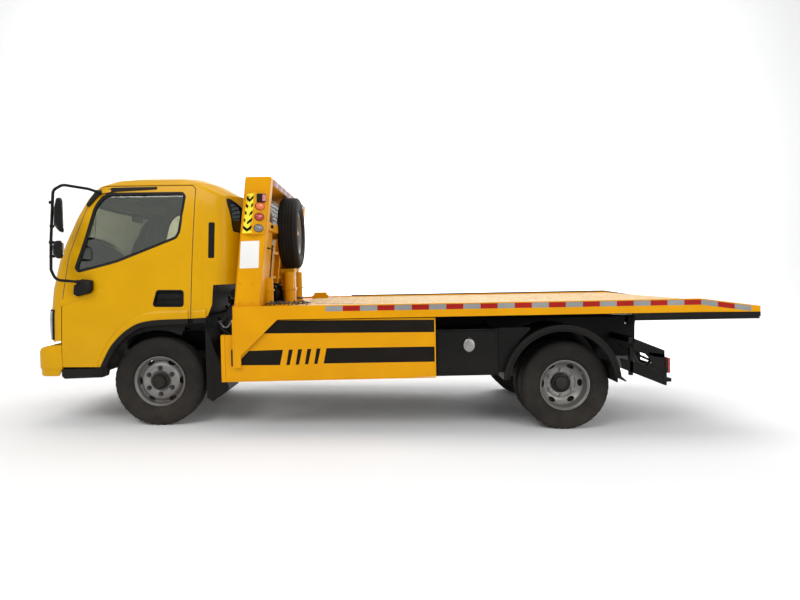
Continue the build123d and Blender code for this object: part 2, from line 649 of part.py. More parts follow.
def deck():
    whole = deck_side() + flip(deck_side())
    inner = DECK_HALF - 59
    whole += side_slab([(DECK_X0, FLOOR_Z - 7), (TAIL_X, FLOOR_Z - 7),
                        (DECK_X1, FLOOR_Z - TAIL_DROP - 7), (DECK_X1, FLOOR_Z - TAIL_DROP),
                        (TAIL_X, FLOOR_Z), (LOAD_X0, FLOOR_Z), (LOAD_X0, FLOOR_Z - 2),
                        (DECK_X0, FLOOR_Z - 2)], -inner, inner)
    for k in range(11):
        x = DECK_X0 + 30 + 380 * k
        whole += box((x - 30, x + 30), (-inner, inner), (935, FLOOR_Z - 4))
    whole += side_slab([(DECK_X1 - 40, 872), (DECK_X1, 872), (DECK_X1, FLOOR_Z - TAIL_DROP),
                        (DECK_X1 - 40, FLOOR_Z - TAIL_DROP + 4)], -inner, inner)
    whole += box((4400, 4440), (-40, 40), (SLIDE_AXIS_Z - 25, FLOOR_Z - 3))
    for x in LASHING_X:
        for sign in (-1, 1):
            whole -= Pos(x, sign * LASHING_Y, FLOOR_Z) * Cylinder(LASHING_R, 60)
    return whole


MARKER_LEVELS = [(1600, 796, 893, 986), (1935, 850, 918, 1024)]   # z, front, ridge, rear x


def headboard():
    """Two leaning posts with lamp housings, a top beam and a panel between them."""
    post_out, post_in = DECK_HALF - 40, DECK_HALF - 150
    post = side_slab([(722, DECK_RAIL_Z1), (923, DECK_RAIL_Z1), (1046, 2065), (843, 2065)],
                     -post_out, -post_in)
    rings = []
    for z, front, ridge, rear in MARKER_LEVELS:
        ring = [(front, -post_out - 1, z), (ridge, -post_out - 55, z), (rear, -post_out - 1, z),
                (rear, -post_in - 50, z), (front, -post_in - 50, z)]
        rings.append(make_face(Polyline(*ring, close=True)))
    wedge = loft(rings, ruled=True)
    frame = post + flip(post) + wedge + flip(wedge)
    frame += side_slab([(836, 1990), (1030, 2012), (1046, 2065), (843, 2065)], -post_in - 1, post_in + 1)
    frame += side_slab([(735, FLOOR_Z + 1), (755, FLOOR_Z + 1), (843, 1765), (823, 1765)],
                       -post_in - 1, post_in + 1)
    return frame


SPARE_R, SPARE_FLANGE = 336, 203
SPARE = (1066, -180, 1667)     # centre


def spare():
    """The spare wheel, its axis along the truck."""
    turn = Pos(SPARE[0], SPARE[1], SPARE[2]) * Rot(0, 0, 90)
    rubber = turn * tyre(0, 0, 0, SPARE_R, SPARE_FLANGE)
    steel = turn * rim(0, 0, 0, -1, 30, SPARE_FLANGE)
    return rubber, steel


nodes["deck"] = deck()
nodes["headboard"] = headboard()
nodes["headboard_mesh"] = side_slab([(830, 1766), (836, 1766), (866, 1989), (860, 1989)],
                                    151 - DECK_HALF, DECK_HALF - 151)
nodes["spare_tyre"], nodes["spare_rim"] = spare()
nodes["spare_carrier"] = box((845, SPARE[0] - 43), (SPARE[1] - 55, SPARE[1] + 55),
                             (SPARE[2] - 55, SPARE[2] + 55))
nodes["slide_cylinder_rod"] = bar((BARREL_X0 + 60, 0, SLIDE_AXIS_Z), (4400, 0, SLIDE_AXIS_Z), 18)
nodes["winch"] = (box((790, 990), (-260, -230), (FLOOR_Z + 1, 1180))
                  + box((790, 990), (230, 260), (FLOOR_Z + 1, 1180))
                  + disc_y(890, 1100, -231, 231, 62) + disc_y(890, 1100, -380, -260, 75))


# ---- place and write ---------------------------------------------------------------------
raked = {name: shape.rotate(Axis.Y, -RAKE) for name, shape in nodes.items()}
boxes = [shape.bounding_box() for shape in raked.values()]
MIDDLE = (min(b.min.X for b in boxes) + max(b.max.X for b in boxes)) / 2
os.makedirs("parts", exist_ok=True)
for name, shape in raked.items():
    export_step(Pos(-MIDDLE, 0, 0) * shape, f"parts/{name}.step")
print("origin to front axle", round(MIDDLE, 4), "nodes", len(nodes))
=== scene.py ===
"""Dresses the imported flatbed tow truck: finishes for its solids, and the pieces that ride on them."""
import bmesh
import bpy
from math import asin, atan2, cos, pi, radians, sin, sqrt, tan
from mathutils import Matrix, Vector


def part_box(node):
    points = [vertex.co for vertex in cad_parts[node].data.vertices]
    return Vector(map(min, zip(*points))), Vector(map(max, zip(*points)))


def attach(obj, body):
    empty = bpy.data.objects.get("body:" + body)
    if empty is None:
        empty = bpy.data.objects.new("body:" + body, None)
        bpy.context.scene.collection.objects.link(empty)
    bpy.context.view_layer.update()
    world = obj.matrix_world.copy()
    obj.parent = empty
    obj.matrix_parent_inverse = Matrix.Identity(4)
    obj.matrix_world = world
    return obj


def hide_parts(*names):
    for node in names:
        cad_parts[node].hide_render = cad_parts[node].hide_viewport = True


bl_info = {"name": "Flatbed Tow Truck Dressing", "version": (1, 0, 0), "blender": (4, 5, 0),
           "location": "View3D > Sidebar > Tow Truck",
           "description": "Finishes and detail pieces for a flatbed tow truck",
           "category": "Object"}

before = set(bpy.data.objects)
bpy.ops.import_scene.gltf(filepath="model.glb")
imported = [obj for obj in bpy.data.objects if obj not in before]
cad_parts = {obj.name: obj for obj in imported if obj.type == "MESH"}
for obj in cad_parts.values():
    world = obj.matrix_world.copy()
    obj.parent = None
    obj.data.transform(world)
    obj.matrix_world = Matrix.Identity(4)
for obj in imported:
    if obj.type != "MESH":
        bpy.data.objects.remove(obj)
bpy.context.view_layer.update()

# ---- the chassis frame of reference ------------------------------------------------------
# Pieces are drawn in level chassis millimetres: x rearwards from the front axle, y to the
# truck's right, z up.  PLACE turns them nose down by the body's rake, into the row frame.
MM = 0.001
RAKE = radians(1.45)
_lo, _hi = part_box("front_tyre_left")
AXLE_X = (_lo[0] + _hi[0]) / 2
TYRE_R = (_hi[2] - _lo[2]) / 2 / MM
TYRE_W = (_hi[1] - _lo[1]) / MM
FRONT_Y = -_lo[1] / MM - TYRE_W / 2
_lo, _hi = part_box("rear_tyre_left")
WHEELBASE = ((_lo[0] + _hi[0]) / 2 - AXLE_X) / MM
REAR_OUT_Y = -_lo[1] / MM - TYRE_W / 2
REAR_IN_Y = -_hi[1] / MM + TYRE_W / 2
PLACE = Matrix.Translation((AXLE_X, 0, 0)) @ Matrix.Rotation(-RAKE, 4, "Y")


def chassis_point(x, z):
    """Chassis place of a point given level with the ground, in millimetres."""
    return x * cos(RAKE) + z * sin(RAKE), z * cos(RAKE) - x * sin(RAKE)


FRONT_X, FRONT_Z = chassis_point(0, TYRE_R)
REAR_X, REAR_Z = chassis_point(WHEELBASE, TYRE_R)

SIDES = (("left", -1), ("right", 1))
DECK_Y, DECK_X0, DECK_X1, TAIL_X = 1150, 718, 5039, 4544
LASHINGS = [(x, y) for x in (1320, 4360) for y in (-1000, 1000)]
RAIL_Z1, FLOOR_Z, TAIL_DROP = 1018, 1006, 70
GUARD_Y = 1120
FENDER_X, FENDER_Z = 3405, 325
SEAT_Y, STEER_Y = 545, -420
SPARE_X, SPARE_Y, SPARE_Z = 1066, -180, 1667
WINCH_X, WINCH_Z = 890, 1100
POST_Y = 1110
CAB_LEVELS = [  # z, front x on the centre line, half width, rear x
    (500, -985, 925, 733), (960, -983, 930, 733), (1173, -957, 930, 733),
    (1411, -898, 928, 733), (1580, -833, 920, 733), (1783, -741, 903, 733),
    (1944, -648, 885, 733), (2040, -560, 862, 560), (2088, -440, 815, 430)]
BOW_R, CORNER_R, BACK_R = 4000, 180, 212


def level(z, column):
    """A cab size at a height: 1 front, 2 half width, 3 rear."""
    rows = CAB_LEVELS
    for low, high in zip(rows, rows[1:]):
        if z <= high[0] or high is rows[-1]:
            t = max(0.0, min(1.0, (z - low[0]) / (high[0] - low[0])))
            return low[column] + (high[column] - low[column]) * t
    return rows[-1][column]


def cab_side_y(x, z):
    """How far the left side of the cab stands from the middle, with its round corners."""
    half = level(z, 2)
    front, rear = level(z, 1), level(z, 3)
    centre = front + BOW_R
    nose = centre - sqrt((BOW_R - CORNER_R) ** 2 - (half - CORNER_R) ** 2)
    tail = rear - BACK_R
    if x < nose:
        d = min(nose - x, CORNER_R * 0.98)
        half = half - CORNER_R + sqrt(CORNER_R ** 2 - d * d)
    elif x > tail:
        d = min(x - tail, BACK_R * 0.98)
        half = half - BACK_R + sqrt(BACK_R ** 2 - d * d)
    return -half


def cab_front_x(y, z):
    """Where the cab's front face lies."""
    half, front = level(z, 2), level(z, 1)
    centre = front + BOW_R
    nose = centre - sqrt((BOW_R - CORNER_R) ** 2 - (half - CORNER_R) ** 2)
    edge = (half - CORNER_R) * BOW_R / (BOW_R - CORNER_R)
    a = abs(y)
    if a <= edge:
        return centre - sqrt(BOW_R ** 2 - a * a)
    d = min(a - (half - CORNER_R), CORNER_R * 0.995)
    return nose - sqrt(CORNER_R ** 2 - d * d)


# ---- making shapes -----------------------------------------------------------------------
def rounded(points, radius, steps=5, closed=True):
    """A 2-D or 3-D line with its corners turned into arcs, of one radius or one each."""
    pts = [Vector(p) for p in points]
    count, made = len(pts), []
    sizes = radius if isinstance(radius, (list, tuple)) else [radius] * count
    for i, p in enumerate(pts):
        if not closed and i in (0, count - 1):
            made.append(p)
            continue
        a, b = pts[i - 1], pts[(i + 1) % count]
        u, v = (a - p), (b - p)
        lu, lv = u.length, v.length
        u, v = u / lu, v / lv
        turn = u.angle(v)
        reach = min(sizes[i] / max(1e-6, tan(turn / 2)), lu * 0.48, lv * 0.48)
        s, e = p + u * reach, p + v * reach
        for k in range(steps + 1):
            t = k / steps
            made.append(s.lerp(p, t).lerp(p.lerp(e, t), t))
    return [tuple(p) for p in made]


def corners(x0, x1, z0, z1, radius):
    """A rectangle with round corners."""
    return rounded([(x0, z0), (x1, z0), (x1, z1), (x0, z1)], radius)


def square(w, h, radius):
    """A rectangle about the middle, by its half sizes."""
    return corners(-w, w, -h, h, radius)


def oval(w, h, count=28):
    """An ellipse about the middle, by its half sizes."""
    return [(w * cos(2 * pi * k / count), h * sin(2 * pi * k / count)) for k in range(count)]


def inset(points, amount):
    """A closed 2-D outline moved inwards, point for point."""
    area = sum(a[0] * b[1] - b[0] * a[1] for a, b in zip(points, points[1:] + points[:1]))
    turn = 1 if area > 0 else -1
    made = []
    for i, p in enumerate(points):
        a, b = points[i - 1], points[(i + 1) % len(points)]
        n1 = Vector((a[1] - p[1], p[0] - a[0])).normalized() * turn
        n2 = Vector((p[1] - b[1], b[0] - p[0])).normalized() * turn
        n = (n1 + n2)
        n = n / max(0.35, n.length_squared / 2) if n.length > 1e-6 else n1
        made.append((p[0] + n.x * amount, p[1] + n.y * amount))
    return made


class Shape:
    """Gathers closed solids, in chassis millimetres, and turns them into one object."""

    def __init__(self):
        self.bm = bmesh.new()

    def add(self, points, faces, material=0):
        made = [self.bm.verts.new(p) for p in points]
        for face in faces:
            f = self.bm.faces.new([made[i] for i in face])
            f.material_index = material
        return made

    def rings(self, rings, material=0, closed=False):
        """Skins a row of equal rings; the ends are capped unless the row is closed."""
        n = len(rings[0])
        points = [p for ring in rings for p in ring]
        faces = []
        count = len(rings)
        for r in range(count if closed else count - 1):
            q = (r + 1) % count
            faces += [(r * n + i, r * n + (i + 1) % n, q * n + (i + 1) % n, q * n + i)
                      for i in range(n)]
        if not closed:
            faces += [tuple(range(n))[::-1], tuple((count - 1) * n + i for i in range(n))]
        self.add(points, faces, material)
        return self

    def prism(self, outline, axis, low, high, material=0):
        """Extrudes an outline of the two other axes, x before y before z."""
        at = {"x": lambda p, h: (h, p[0], p[1]), "y": lambda p, h: (p[0], h, p[1]),
              "z": lambda p, h: (p[0], p[1], h)}[axis]
        return self.rings([[at(p, low) for p in outline], [at(p, high) for p in outline]],
                          material)

    def block(self, x, y, z, soft=0):
        """A box from pairs of places; soft rounds its edges along y."""
        outline = [(x[0], z[0]), (x[1], z[0]), (x[1], z[1]), (x[0], z[1])]
        if soft:
            outline = rounded(outline, soft, 4)
        return self.prism(outline, "y", y[0], y[1])

    def lathe(self, outline, centre, axis="y", steps=72, wave=None):
        """Turns a closed outline of (offset, radius) about an axis; wave(angle, r, i) varies r."""
        rings = []
        for k in range(steps):
            a = 2 * pi * k / steps
            ring = []
            for i, (off, r) in enumerate(outline):
                if wave:
                    r = wave(a, r, i)
                c, s = r * cos(a), r * sin(a)
                ring.append({"y": (centre[0] + c, centre[1] + off, centre[2] + s),
                             "x": (centre[0] + off, centre[1] + c, centre[2] + s),
                             "z": (centre[0] + c, centre[1] + s, centre[2] + off)}[axis])
            rings.append(ring)
        return self.rings(rings, closed=True)

    def disc(self, centre, axis, low, high, radius, steps=32):
        """A plain round bar along an axis."""
        a, b = {"x": (1, 2), "y": (0, 2), "z": (0, 1)}[axis]
        ring = [(centre[a] + u, centre[b] + v) for u, v in oval(radius, radius, steps)]
        return self.prism(ring, axis, low, high)

    def tube(self, path, radius, sides=12, closed=False):
        """A round bar that follows a line of points."""
        pts = [Vector(p) for p in path]
        rings, side = [], None
        n = len(pts)
        for i, p in enumerate(pts):
            a = pts[i - 1] if (i or closed) else p
            b = pts[(i + 1) % n] if (i < n - 1 or closed) else p
            run = (b - a).normalized()
            if side is None:
                side = run.orthogonal().normalized()
            side = (side - run * side.dot(run)).normalized()
            other = run.cross(side)
            r = radius(i / (n - 1)) if callable(radius) else radius
            rings.append([tuple(p + side * (r * cos(2 * pi * k / sides))
                                + other * (r * sin(2 * pi * k / sides))) for k in range(sides)])
        return self.rings(rings, closed=closed)

    def bar(self, start, end, radius, sides=16):
        return self.tube([start, end], radius, sides)

    def both_sides(self):
        """Adds the mirror image on the other side of the truck."""
        geom = self.bm.verts[:] + self.bm.edges[:] + self.bm.faces[:]
        copy = bmesh.ops.duplicate(self.bm, geom=geom)["geom"]
        verts = [g for g in copy if isinstance(g, bmesh.types.BMVert)]
        bmesh.ops.scale(self.bm, vec=(1, -1, 1), verts=verts)
        bmesh.ops.reverse_faces(self.bm, faces=[g for g in copy
                                                if isinstance(g, bmesh.types.BMFace)])
        return self

    def flipped(self):
        bmesh.ops.scale(self.bm, vec=(1, -1, 1), verts=self.bm.verts[:])
        bmesh.ops.reverse_faces(self.bm, faces=self.bm.faces[:])
        return self

    def turned(self, matrix):
        bmesh.ops.transform(self.bm, matrix=matrix, verts=self.bm.verts[:])
        return self

    def plain(self, name):
        """The shape as an object, with no finish or body yet."""
        bmesh.ops.recalc_face_normals(self.bm, faces=self.bm.faces[:])
        bmesh.ops.scale(self.bm, vec=(MM, MM, MM), verts=self.bm.verts[:])
        mesh = bpy.data.meshes.new(name)
        self.bm.to_mesh(mesh)
        self.bm.free()
        piece = bpy.data.objects.new(name, mesh)
        bpy.context.scene.collection.objects.link(piece)
        piece.matrix_world = PLACE
        return piece

    def to_object(self, name, body, looks, slot=None, bevel=0.0, sharp=35, replaces=()):
        """The finished object, riding on a body.  looks is one material or several.

        Its slot, the first look's own unless another is given, is worked out but not used."""
        looks = [looks] if isinstance(looks, str) else looks
        piece = self.plain(name)
        mesh = piece.data
        for look in looks:
            mesh.materials.append(material(look))
        mesh.shade_smooth()
        mesh.set_sharp_from_angle(angle=radians(sharp))
        if bevel:
            soft = piece.modifiers.new("worn edges", "BEVEL")
            soft.width, soft.segments = bevel * MM, 2
            soft.limit_method, soft.angle_limit = "ANGLE", radians(32)
            soft.harden_normals = True
        slot = slot or SLOT_OF[looks[0]]
        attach(piece, body)
        if replaces:
            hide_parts(*replaces)
        return piece


def carve(piece, cutter_shape):
    """Cuts a shape out of a piece, for good."""
    cutter = cutter_shape.plain("cutter")
    cutter.matrix_world = piece.matrix_world
    cut = piece.modifiers.new("cut", "BOOLEAN")
    cut.object, cut.operation, cut.solver = cutter, "DIFFERENCE", "EXACT"
    while piece.modifiers[0] != cut:
        bpy.context.view_layer.objects.active = piece
        bpy.ops.object.modifier_move_up(modifier=cut.name)
    with bpy.context.temp_override(object=piece, active_object=piece):
        bpy.ops.object.modifier_apply(modifier=cut.name)
    bpy.data.objects.remove(cutter)


# ---- shared shader effects ---------------------------------------------------------------
def new_group(name, sockets):
    """A shader node group with named sockets: (name, type, in or out, default)."""
    group = bpy.data.node_groups.new(name, "ShaderNodeTree")
    for label, kind, side, default in sockets:
        socket = group.interface.new_socket(label, in_out=side, socket_type="NodeSocket" + kind)
        if default is not None:
            socket.default_value = default
    return group, Nodes(group)


class Nodes:
    """Adds and links shader nodes with little writing."""

    def __init__(self, tree):
        self.tree = tree

    def add(self, kind, settings=None, **inputs):
        node = self.tree.nodes.new(kind)
        for key, value in (settings or {}).items():
            setattr(node, key, value)
        for key, value in inputs.items():
            self.link(value, node, key)
        return node

    def link(self, value, node, key):
        """Feeds a socket from a node's output, or sets it to a constant."""
        key = int(key[1:]) if key[0] == "_" else key.replace("_", " ")
        socket = node.inputs[key]
        if isinstance(value, bpy.types.Node):
            self.tree.links.new(value.outputs[0], socket)
        elif isinstance(value, bpy.types.NodeSocket):
            self.tree.links.new(value, socket)
        else:
            socket.default_value = value

    def math(self, operation, a, b=0.0, clamp=False):
        return self.add("ShaderNodeMath", {"operation": operation, "use_clamp": clamp}, _0=a, _1=b)

    def mix(self, factor, a, b):
        """A colour mix: (factor, first, second)."""
        node = self.add("ShaderNodeMix", {"data_type": "RGBA"}, _0=factor, _6=a, _7=b)
        return node.outputs[2]

    def ramp(self, value, stops):
        node = self.add("ShaderNodeValToRGB", _0=value)
        marks = node.color_ramp.elements
        while len(marks) < len(stops):
            marks.new(0.5)
        for mark, (place, grey) in zip(marks, stops):
            mark.position = place
            mark.color = (grey, grey, grey, 1)
        return node.outputs[0]


def grain_group():
    """A height pattern as a value and a bumped normal."""
    group, n = new_group("Surface Grain", [
        ("Scale", "Float", "INPUT", 200.0), ("Detail", "Float", "INPUT", 3.0),
        ("Strength", "Float", "INPUT", 0.2), ("Distance", "Float", "INPUT", 0.001),
        ("Height", "Float", "OUTPUT", None), ("Normal", "Vector", "OUTPUT", None)])
    given = n.add("NodeGroupInput").outputs
    result = n.add("NodeGroupOutput")
    place = n.add("ShaderNodeTexCoord").outputs["Object"]
    noise = n.add("ShaderNodeTexNoise", Vector=place, Scale=given["Scale"], Detail=given["Detail"])
    bump = n.add("ShaderNodeBump", Strength=given["Strength"], Distance=given["Distance"],
                 Height=noise.outputs[0])
    n.link(noise.outputs[0], result, "Height")
    n.link(bump, result, "Normal")
    return group


def dust_group():
    """Road dust that thickens towards the ground and lies on upward faces."""
    group, n = new_group("Road Dust", [
        ("Color", "Color", "INPUT", (0.5, 0.5, 0.5, 1)),
        ("Dust Color", "Color", "INPUT", (0.30, 0.25, 0.19, 1)),
        ("Amount", "Float", "INPUT", 0.3), ("Height", "Float", "INPUT", 0.9),
        ("Color", "Color", "OUTPUT", None), ("Mask", "Float", "OUTPUT", None)])
    given = n.add("NodeGroupInput").outputs
    result = n.add("NodeGroupOutput")
    geometry = n.add("ShaderNodeNewGeometry")
    place = n.add("ShaderNodeTexCoord").outputs["Object"]
    split = n.add("ShaderNodeSeparateXYZ", _0=geometry.outputs["Position"])
    low = n.math("DIVIDE", split.outputs[2], given["Height"])
    low = n.math("SUBTRACT", 1.0, low, clamp=True)
    low = n.math("POWER", low, 1.6)
    up = n.add("ShaderNodeSeparateXYZ", _0=geometry.outputs["Normal"]).outputs[2]
    up = n.math("MULTIPLY", n.math("MAXIMUM", up, 0.0), 0.35)
    noise = n.add("ShaderNodeTexNoise", Vector=place, Scale=7.0, Detail=8.0, Roughness=0.65)
    patch = n.ramp(noise.outputs[0], [(0.30, 0.15), (0.72, 1.0)])
    mask = n.math("MULTIPLY", n.math("ADD", low, up), patch)
    mask = n.math("MULTIPLY", mask, given["Amount"], clamp=True)
    n.link(n.mix(mask.outputs[0], given[0], given["Dust Color"]), result, "_0")
    n.link(mask, result, "_1")
    return group


def wear_group():
    """A mask for rubbed edges, broken up by noise."""
    group, n = new_group("Edge Wear", [
        ("Radius", "Float", "INPUT", 0.004), ("Amount", "Float", "INPUT", 0.5),
        ("Mask", "Float", "OUTPUT", None)])
    given = n.add("NodeGroupInput").outputs
    result = n.add("NodeGroupOutput")
    geometry = n.add("ShaderNodeNewGeometry")
    soft = n.add("ShaderNodeBevel", {"samples": 4}, Radius=given["Radius"])
    dot = n.add("ShaderNodeVectorMath", {"operation": "DOT_PRODUCT"}, _0=soft,
                _1=geometry.outputs["Normal"])
    edge = n.ramp(dot.outputs["Value"], [(0.80, 1.0), (0.97, 0.0)])
    place = n.add("ShaderNodeTexCoord").outputs["Object"]
    noise = n.add("ShaderNodeTexNoise", Vector=place, Scale=28.0, Detail=6.0)
    patch = n.ramp(noise.outputs[0], [(0.50, 0.0), (0.62, 1.0)])
    mask = n.math("MULTIPLY", n.math("MULTIPLY", edge, patch), given["Amount"], clamp=True)
    n.link(mask, result, "_0")
    return group


def settings():
    """The sizes and colours that the panel offers."""
    return bpy.context.scene.tow_truck


# name: colour, second colour, roughness, metal, coat, grain scale, grain strength, dust, wear
LOOKS = {
    "yellow paint": ((0.62, 0.322, 0.0005), (0.57, 0.292, 0.0005), 0.30, 0, 0.08, 90, 0.04, 0.012, 0),
    "yellow deck paint": ((0.67, 0.300, 0.0005), (0.62, 0.272, 0.0005), 0.36, 0, 0.05, 60, 0.07,
                          0.015, 0.3),
    "black vinyl": ((0.006, 0.0045, 0.003), (0.009, 0.007, 0.005), 0.42, 0, 0, 150, 0.05, 0.015, 0),
    "black paint": ((0.004, 0.0037, 0.0032), (0.007, 0.0065, 0.006), 0.42, 0, 0, 120, 0.10,
                    0.02, 0.2),
    "black plastic": ((0.006, 0.0056, 0.005), (0.010, 0.009, 0.008), 0.50, 0, 0, 900, 0.25, 0.015, 0),
    "rubber seal": ((0.008, 0.008, 0.008), (0.014, 0.014, 0.014), 0.60, 0, 0, 500, 0.15, 0.08, 0),
    "tyre rubber": ((0.011, 0.010, 0.009), (0.017, 0.015, 0.013), 0.70, 0, 0, 420, 0.22, 0.10, 0),
    "wheel paint": ((0.25, 0.24, 0.23), (0.17, 0.16, 0.155), 0.42, 0.6, 0, 160, 0.08, 0.12, 0.2),
    "hub black": ((0.010, 0.009, 0.008), (0.016, 0.014, 0.012), 0.50, 0.2, 0, 200, 0.2, 0.1, 0),
    "nut steel": ((0.30, 0.29, 0.28), (0.20, 0.19, 0.18), 0.42, 0.9, 0, 300, 0.12, 0.25, 0),
    "nut black": ((0.030, 0.028, 0.026), (0.050, 0.046, 0.042), 0.45, 0.5, 0, 300, 0.12, 0.08, 0),
    "cast iron": ((0.060, 0.058, 0.056), (0.095, 0.088, 0.080), 0.62, 0.5, 0, 220, 0.35, 0.35, 0),
    "bare steel": ((0.34, 0.33, 0.32), (0.22, 0.21, 0.20), 0.38, 0.95, 0, 260, 0.15, 0.10, 0),
    "chrome rod": ((0.75, 0.75, 0.76), (0.68, 0.68, 0.69), 0.10, 1.0, 0, 80, 0.02, 0.04, 0),
    "mirror silver": ((0.80, 0.82, 0.84), (0.78, 0.80, 0.82), 0.03, 1.0, 0, 40, 0.01, 0.02, 0),
    "seat cloth": ((0.30, 0.29, 0.25), (0.38, 0.37, 0.32), 0.92, 0, 0, 1400, 0.5, 0, 0),
    "cabin trim": ((0.26, 0.25, 0.22), (0.32, 0.31, 0.27), 0.72, 0, 0, 700, 0.25, 0, 0),
    "white film": ((0.80, 0.79, 0.76), (0.72, 0.71, 0.69), 0.45, 0, 0.2, 200, 0.05, 0.12, 0),
    "tape white": ((0.27, 0.27, 0.26), (0.21, 0.213, 0.21), 0.34, 0, 0.1, 900, 0.20, 0.06, 0),
    "tape red": ((0.36, 0.010, 0.006), (0.27, 0.007, 0.005), 0.34, 0, 0.1, 900, 0.20, 0.04, 0),
    "chevron yellow": ((0.92, 0.80, 0.02), (0.86, 0.72, 0.02), 0.34, 0, 0.5, 600, 0.12, 0.06, 0),
    "webbing": ((0.72, 0.50, 0.44), (0.80, 0.74, 0.68), 0.85, 0, 0, 900, 0.5, 0.20, 0),
    # the deck floor's pale cream is partly its worn yellow paint and partly a painted sheen: the lit
    # top is drawn paler than the rails' yellow
    "deck floor": ((0.62, 0.38, 0.075), (0.50, 0.28, 0.045), 0.55, 0, 0, 60, 0.3, 0.2, 0.3),
    "hose rubber": ((0.013, 0.013, 0.013), (0.022, 0.021, 0.020), 0.55, 0, 0, 300, 0.1, 0.2, 0),
    "wire rope": ((0.22, 0.21, 0.20), (0.14, 0.13, 0.12), 0.45, 0.85, 0, 500, 0.4, 0.2, 0),
    "engine paint": ((0.11, 0.115, 0.12), (0.07, 0.07, 0.075), 0.55, 0.4, 0, 180, 0.3, 0.4, 0),
}
# the finishes whose colour the panel sets
PAINT_SETTING = {"yellow paint": "cab_yellow", "yellow deck paint": "deck_yellow",
                 "tape white": "tape_white", "tape red": "tape_red"}
# name: colour, roughness, how much light passes, coat
CLEAR = {
    "window glass": ((0.80, 0.80, 0.71), 0.02, 1.0, 0),
    "tinted glass": ((0.06, 0.058, 0.045), 0.04, 1.0, 0),
    "lamp clear": ((0.90, 0.92, 0.93), 0.06, 0.85, 0.5),
    "lamp red": ((0.42, 0.012, 0.008), 0.10, 0.25, 0.8),
    "lamp amber": ((0.80, 0.14, 0.012), 0.10, 0.25, 0.8),
}
DULL = {  # finishes with a weak reflection
    "yellow paint": 0.10, "yellow deck paint": 0.08, "tape white": 0.10, "tape red": 0.10,
    "black vinyl": 0.10, "black paint": 0.12, "black plastic": 0.14, "rubber seal": 0.15,
    "tyre rubber": 0.14, "hub black": 0.25, "hose rubber": 0.25, "seat cloth": 0.2,
    "cabin trim": 0.25, "webbing": 0.2, "deck floor": 0.25}
GROUPS = {}


def material(name):
    """The named finish, built once."""
    made = bpy.data.materials.get(name)
    if made:
        return made
    if not GROUPS:
        GROUPS.update(grain=grain_group(), dust=dust_group(), wear=wear_group())
    made = bpy.data.materials.new(name)
    made.use_nodes = True
    made.node_tree.nodes.clear()
    n = Nodes(made.node_tree)
    out = n.add("ShaderNodeOutputMaterial")
    if name in CLEAR:
        shader = clear_shader(n, name)
    else:
        shader = solid_shader(n, name)
    n.link(shader, out, "Surface")
    return made


def solid_shader(n, name):
    first, second, rough, metal, coat, scale, strength, dust, wear = LOOKS[name]
    if name in PAINT_SETTING:
        first = tuple(getattr(settings(), PAINT_SETTING[name]))
    place = n.add("ShaderNodeTexCoord").outputs["Object"]
    cloud = n.add("ShaderNodeTexNoise", Vector=place, Scale=3.5, Detail=6.0)
    tone = n.mix(n.ramp(cloud.outputs[0], [(0.35, 0.0), (0.68, 1.0)]), (*first, 1), (*second, 1))
    grain = n.add("ShaderNodeGroup", {"node_tree": GROUPS["grain"]}, Scale=float(scale),
                  Strength=strength, Distance=0.002 if scale < 200 else 0.0006)
    if name == "deck floor":
        tone, grain_normal = checker_floor(n, place, tone)
    else:
        grain_normal = grain.outputs["Normal"]
    if wear:
        rub = n.add("ShaderNodeGroup", {"node_tree": GROUPS["wear"]}, Amount=wear)
        tone = n.mix(rub.outputs[0], tone, (0.10, 0.085, 0.075, 1))
    film = n.add("ShaderNodeGroup", {"node_tree": GROUPS["dust"]}, _0=tone, Amount=dust)
    varied = n.math("MULTIPLY_ADD", grain.outputs["Height"], 0.16)
    varied.inputs[2].default_value = rough - 0.08
    rough_value = n.math("ADD", varied, n.math("MULTIPLY", film.outputs[1], 0.45), clamp=True)
    shader = n.add("ShaderNodeBsdfPrincipled", Base_Color=film.outputs[0], Roughness=rough_value,
                   Normal=grain_normal)
    shader.inputs["Metallic"].default_value = metal
    shader.inputs["Coat Weight"].default_value = coat
    shader.inputs["Coat Roughness"].default_value = 0.08
    shader.inputs["Specular IOR Level"].default_value = DULL.get(name, 0.45)
    if name in ("seat cloth", "webbing"):
        shader.inputs["Sheen Weight"].default_value = 0.4
    return shader


def checker_floor(n, place, tone):
    """Small raised treads on the floor sheet, rubbed bare on top and dusty between."""
    wave = n.add("ShaderNodeTexVoronoi", {"feature": "F1", "distance": "CHEBYCHEV"},
                 Vector=place, Scale=26.0)
    tread = n.ramp(wave.outputs["Distance"], [(0.28, 1.0), (0.40, 0.0)])
    bump = n.add("ShaderNodeBump", Strength=0.6, Distance=0.004, Height=tread)
    rub = n.add("ShaderNodeTexNoise", Vector=place, Scale=9.0, Detail=9.0)
    patch = n.ramp(rub.outputs[0], [(0.44, 0.0), (0.60, 0.75)])
    tone = n.mix(patch, tone, (0.58, 0.46, 0.25, 1))
    dark = n.ramp(wave.outputs["Distance"], [(0.40, 0.0), (0.62, 0.45)])
    return n.mix(dark, tone, (0.26, 0.15, 0.04, 1)), bump.outputs[0]


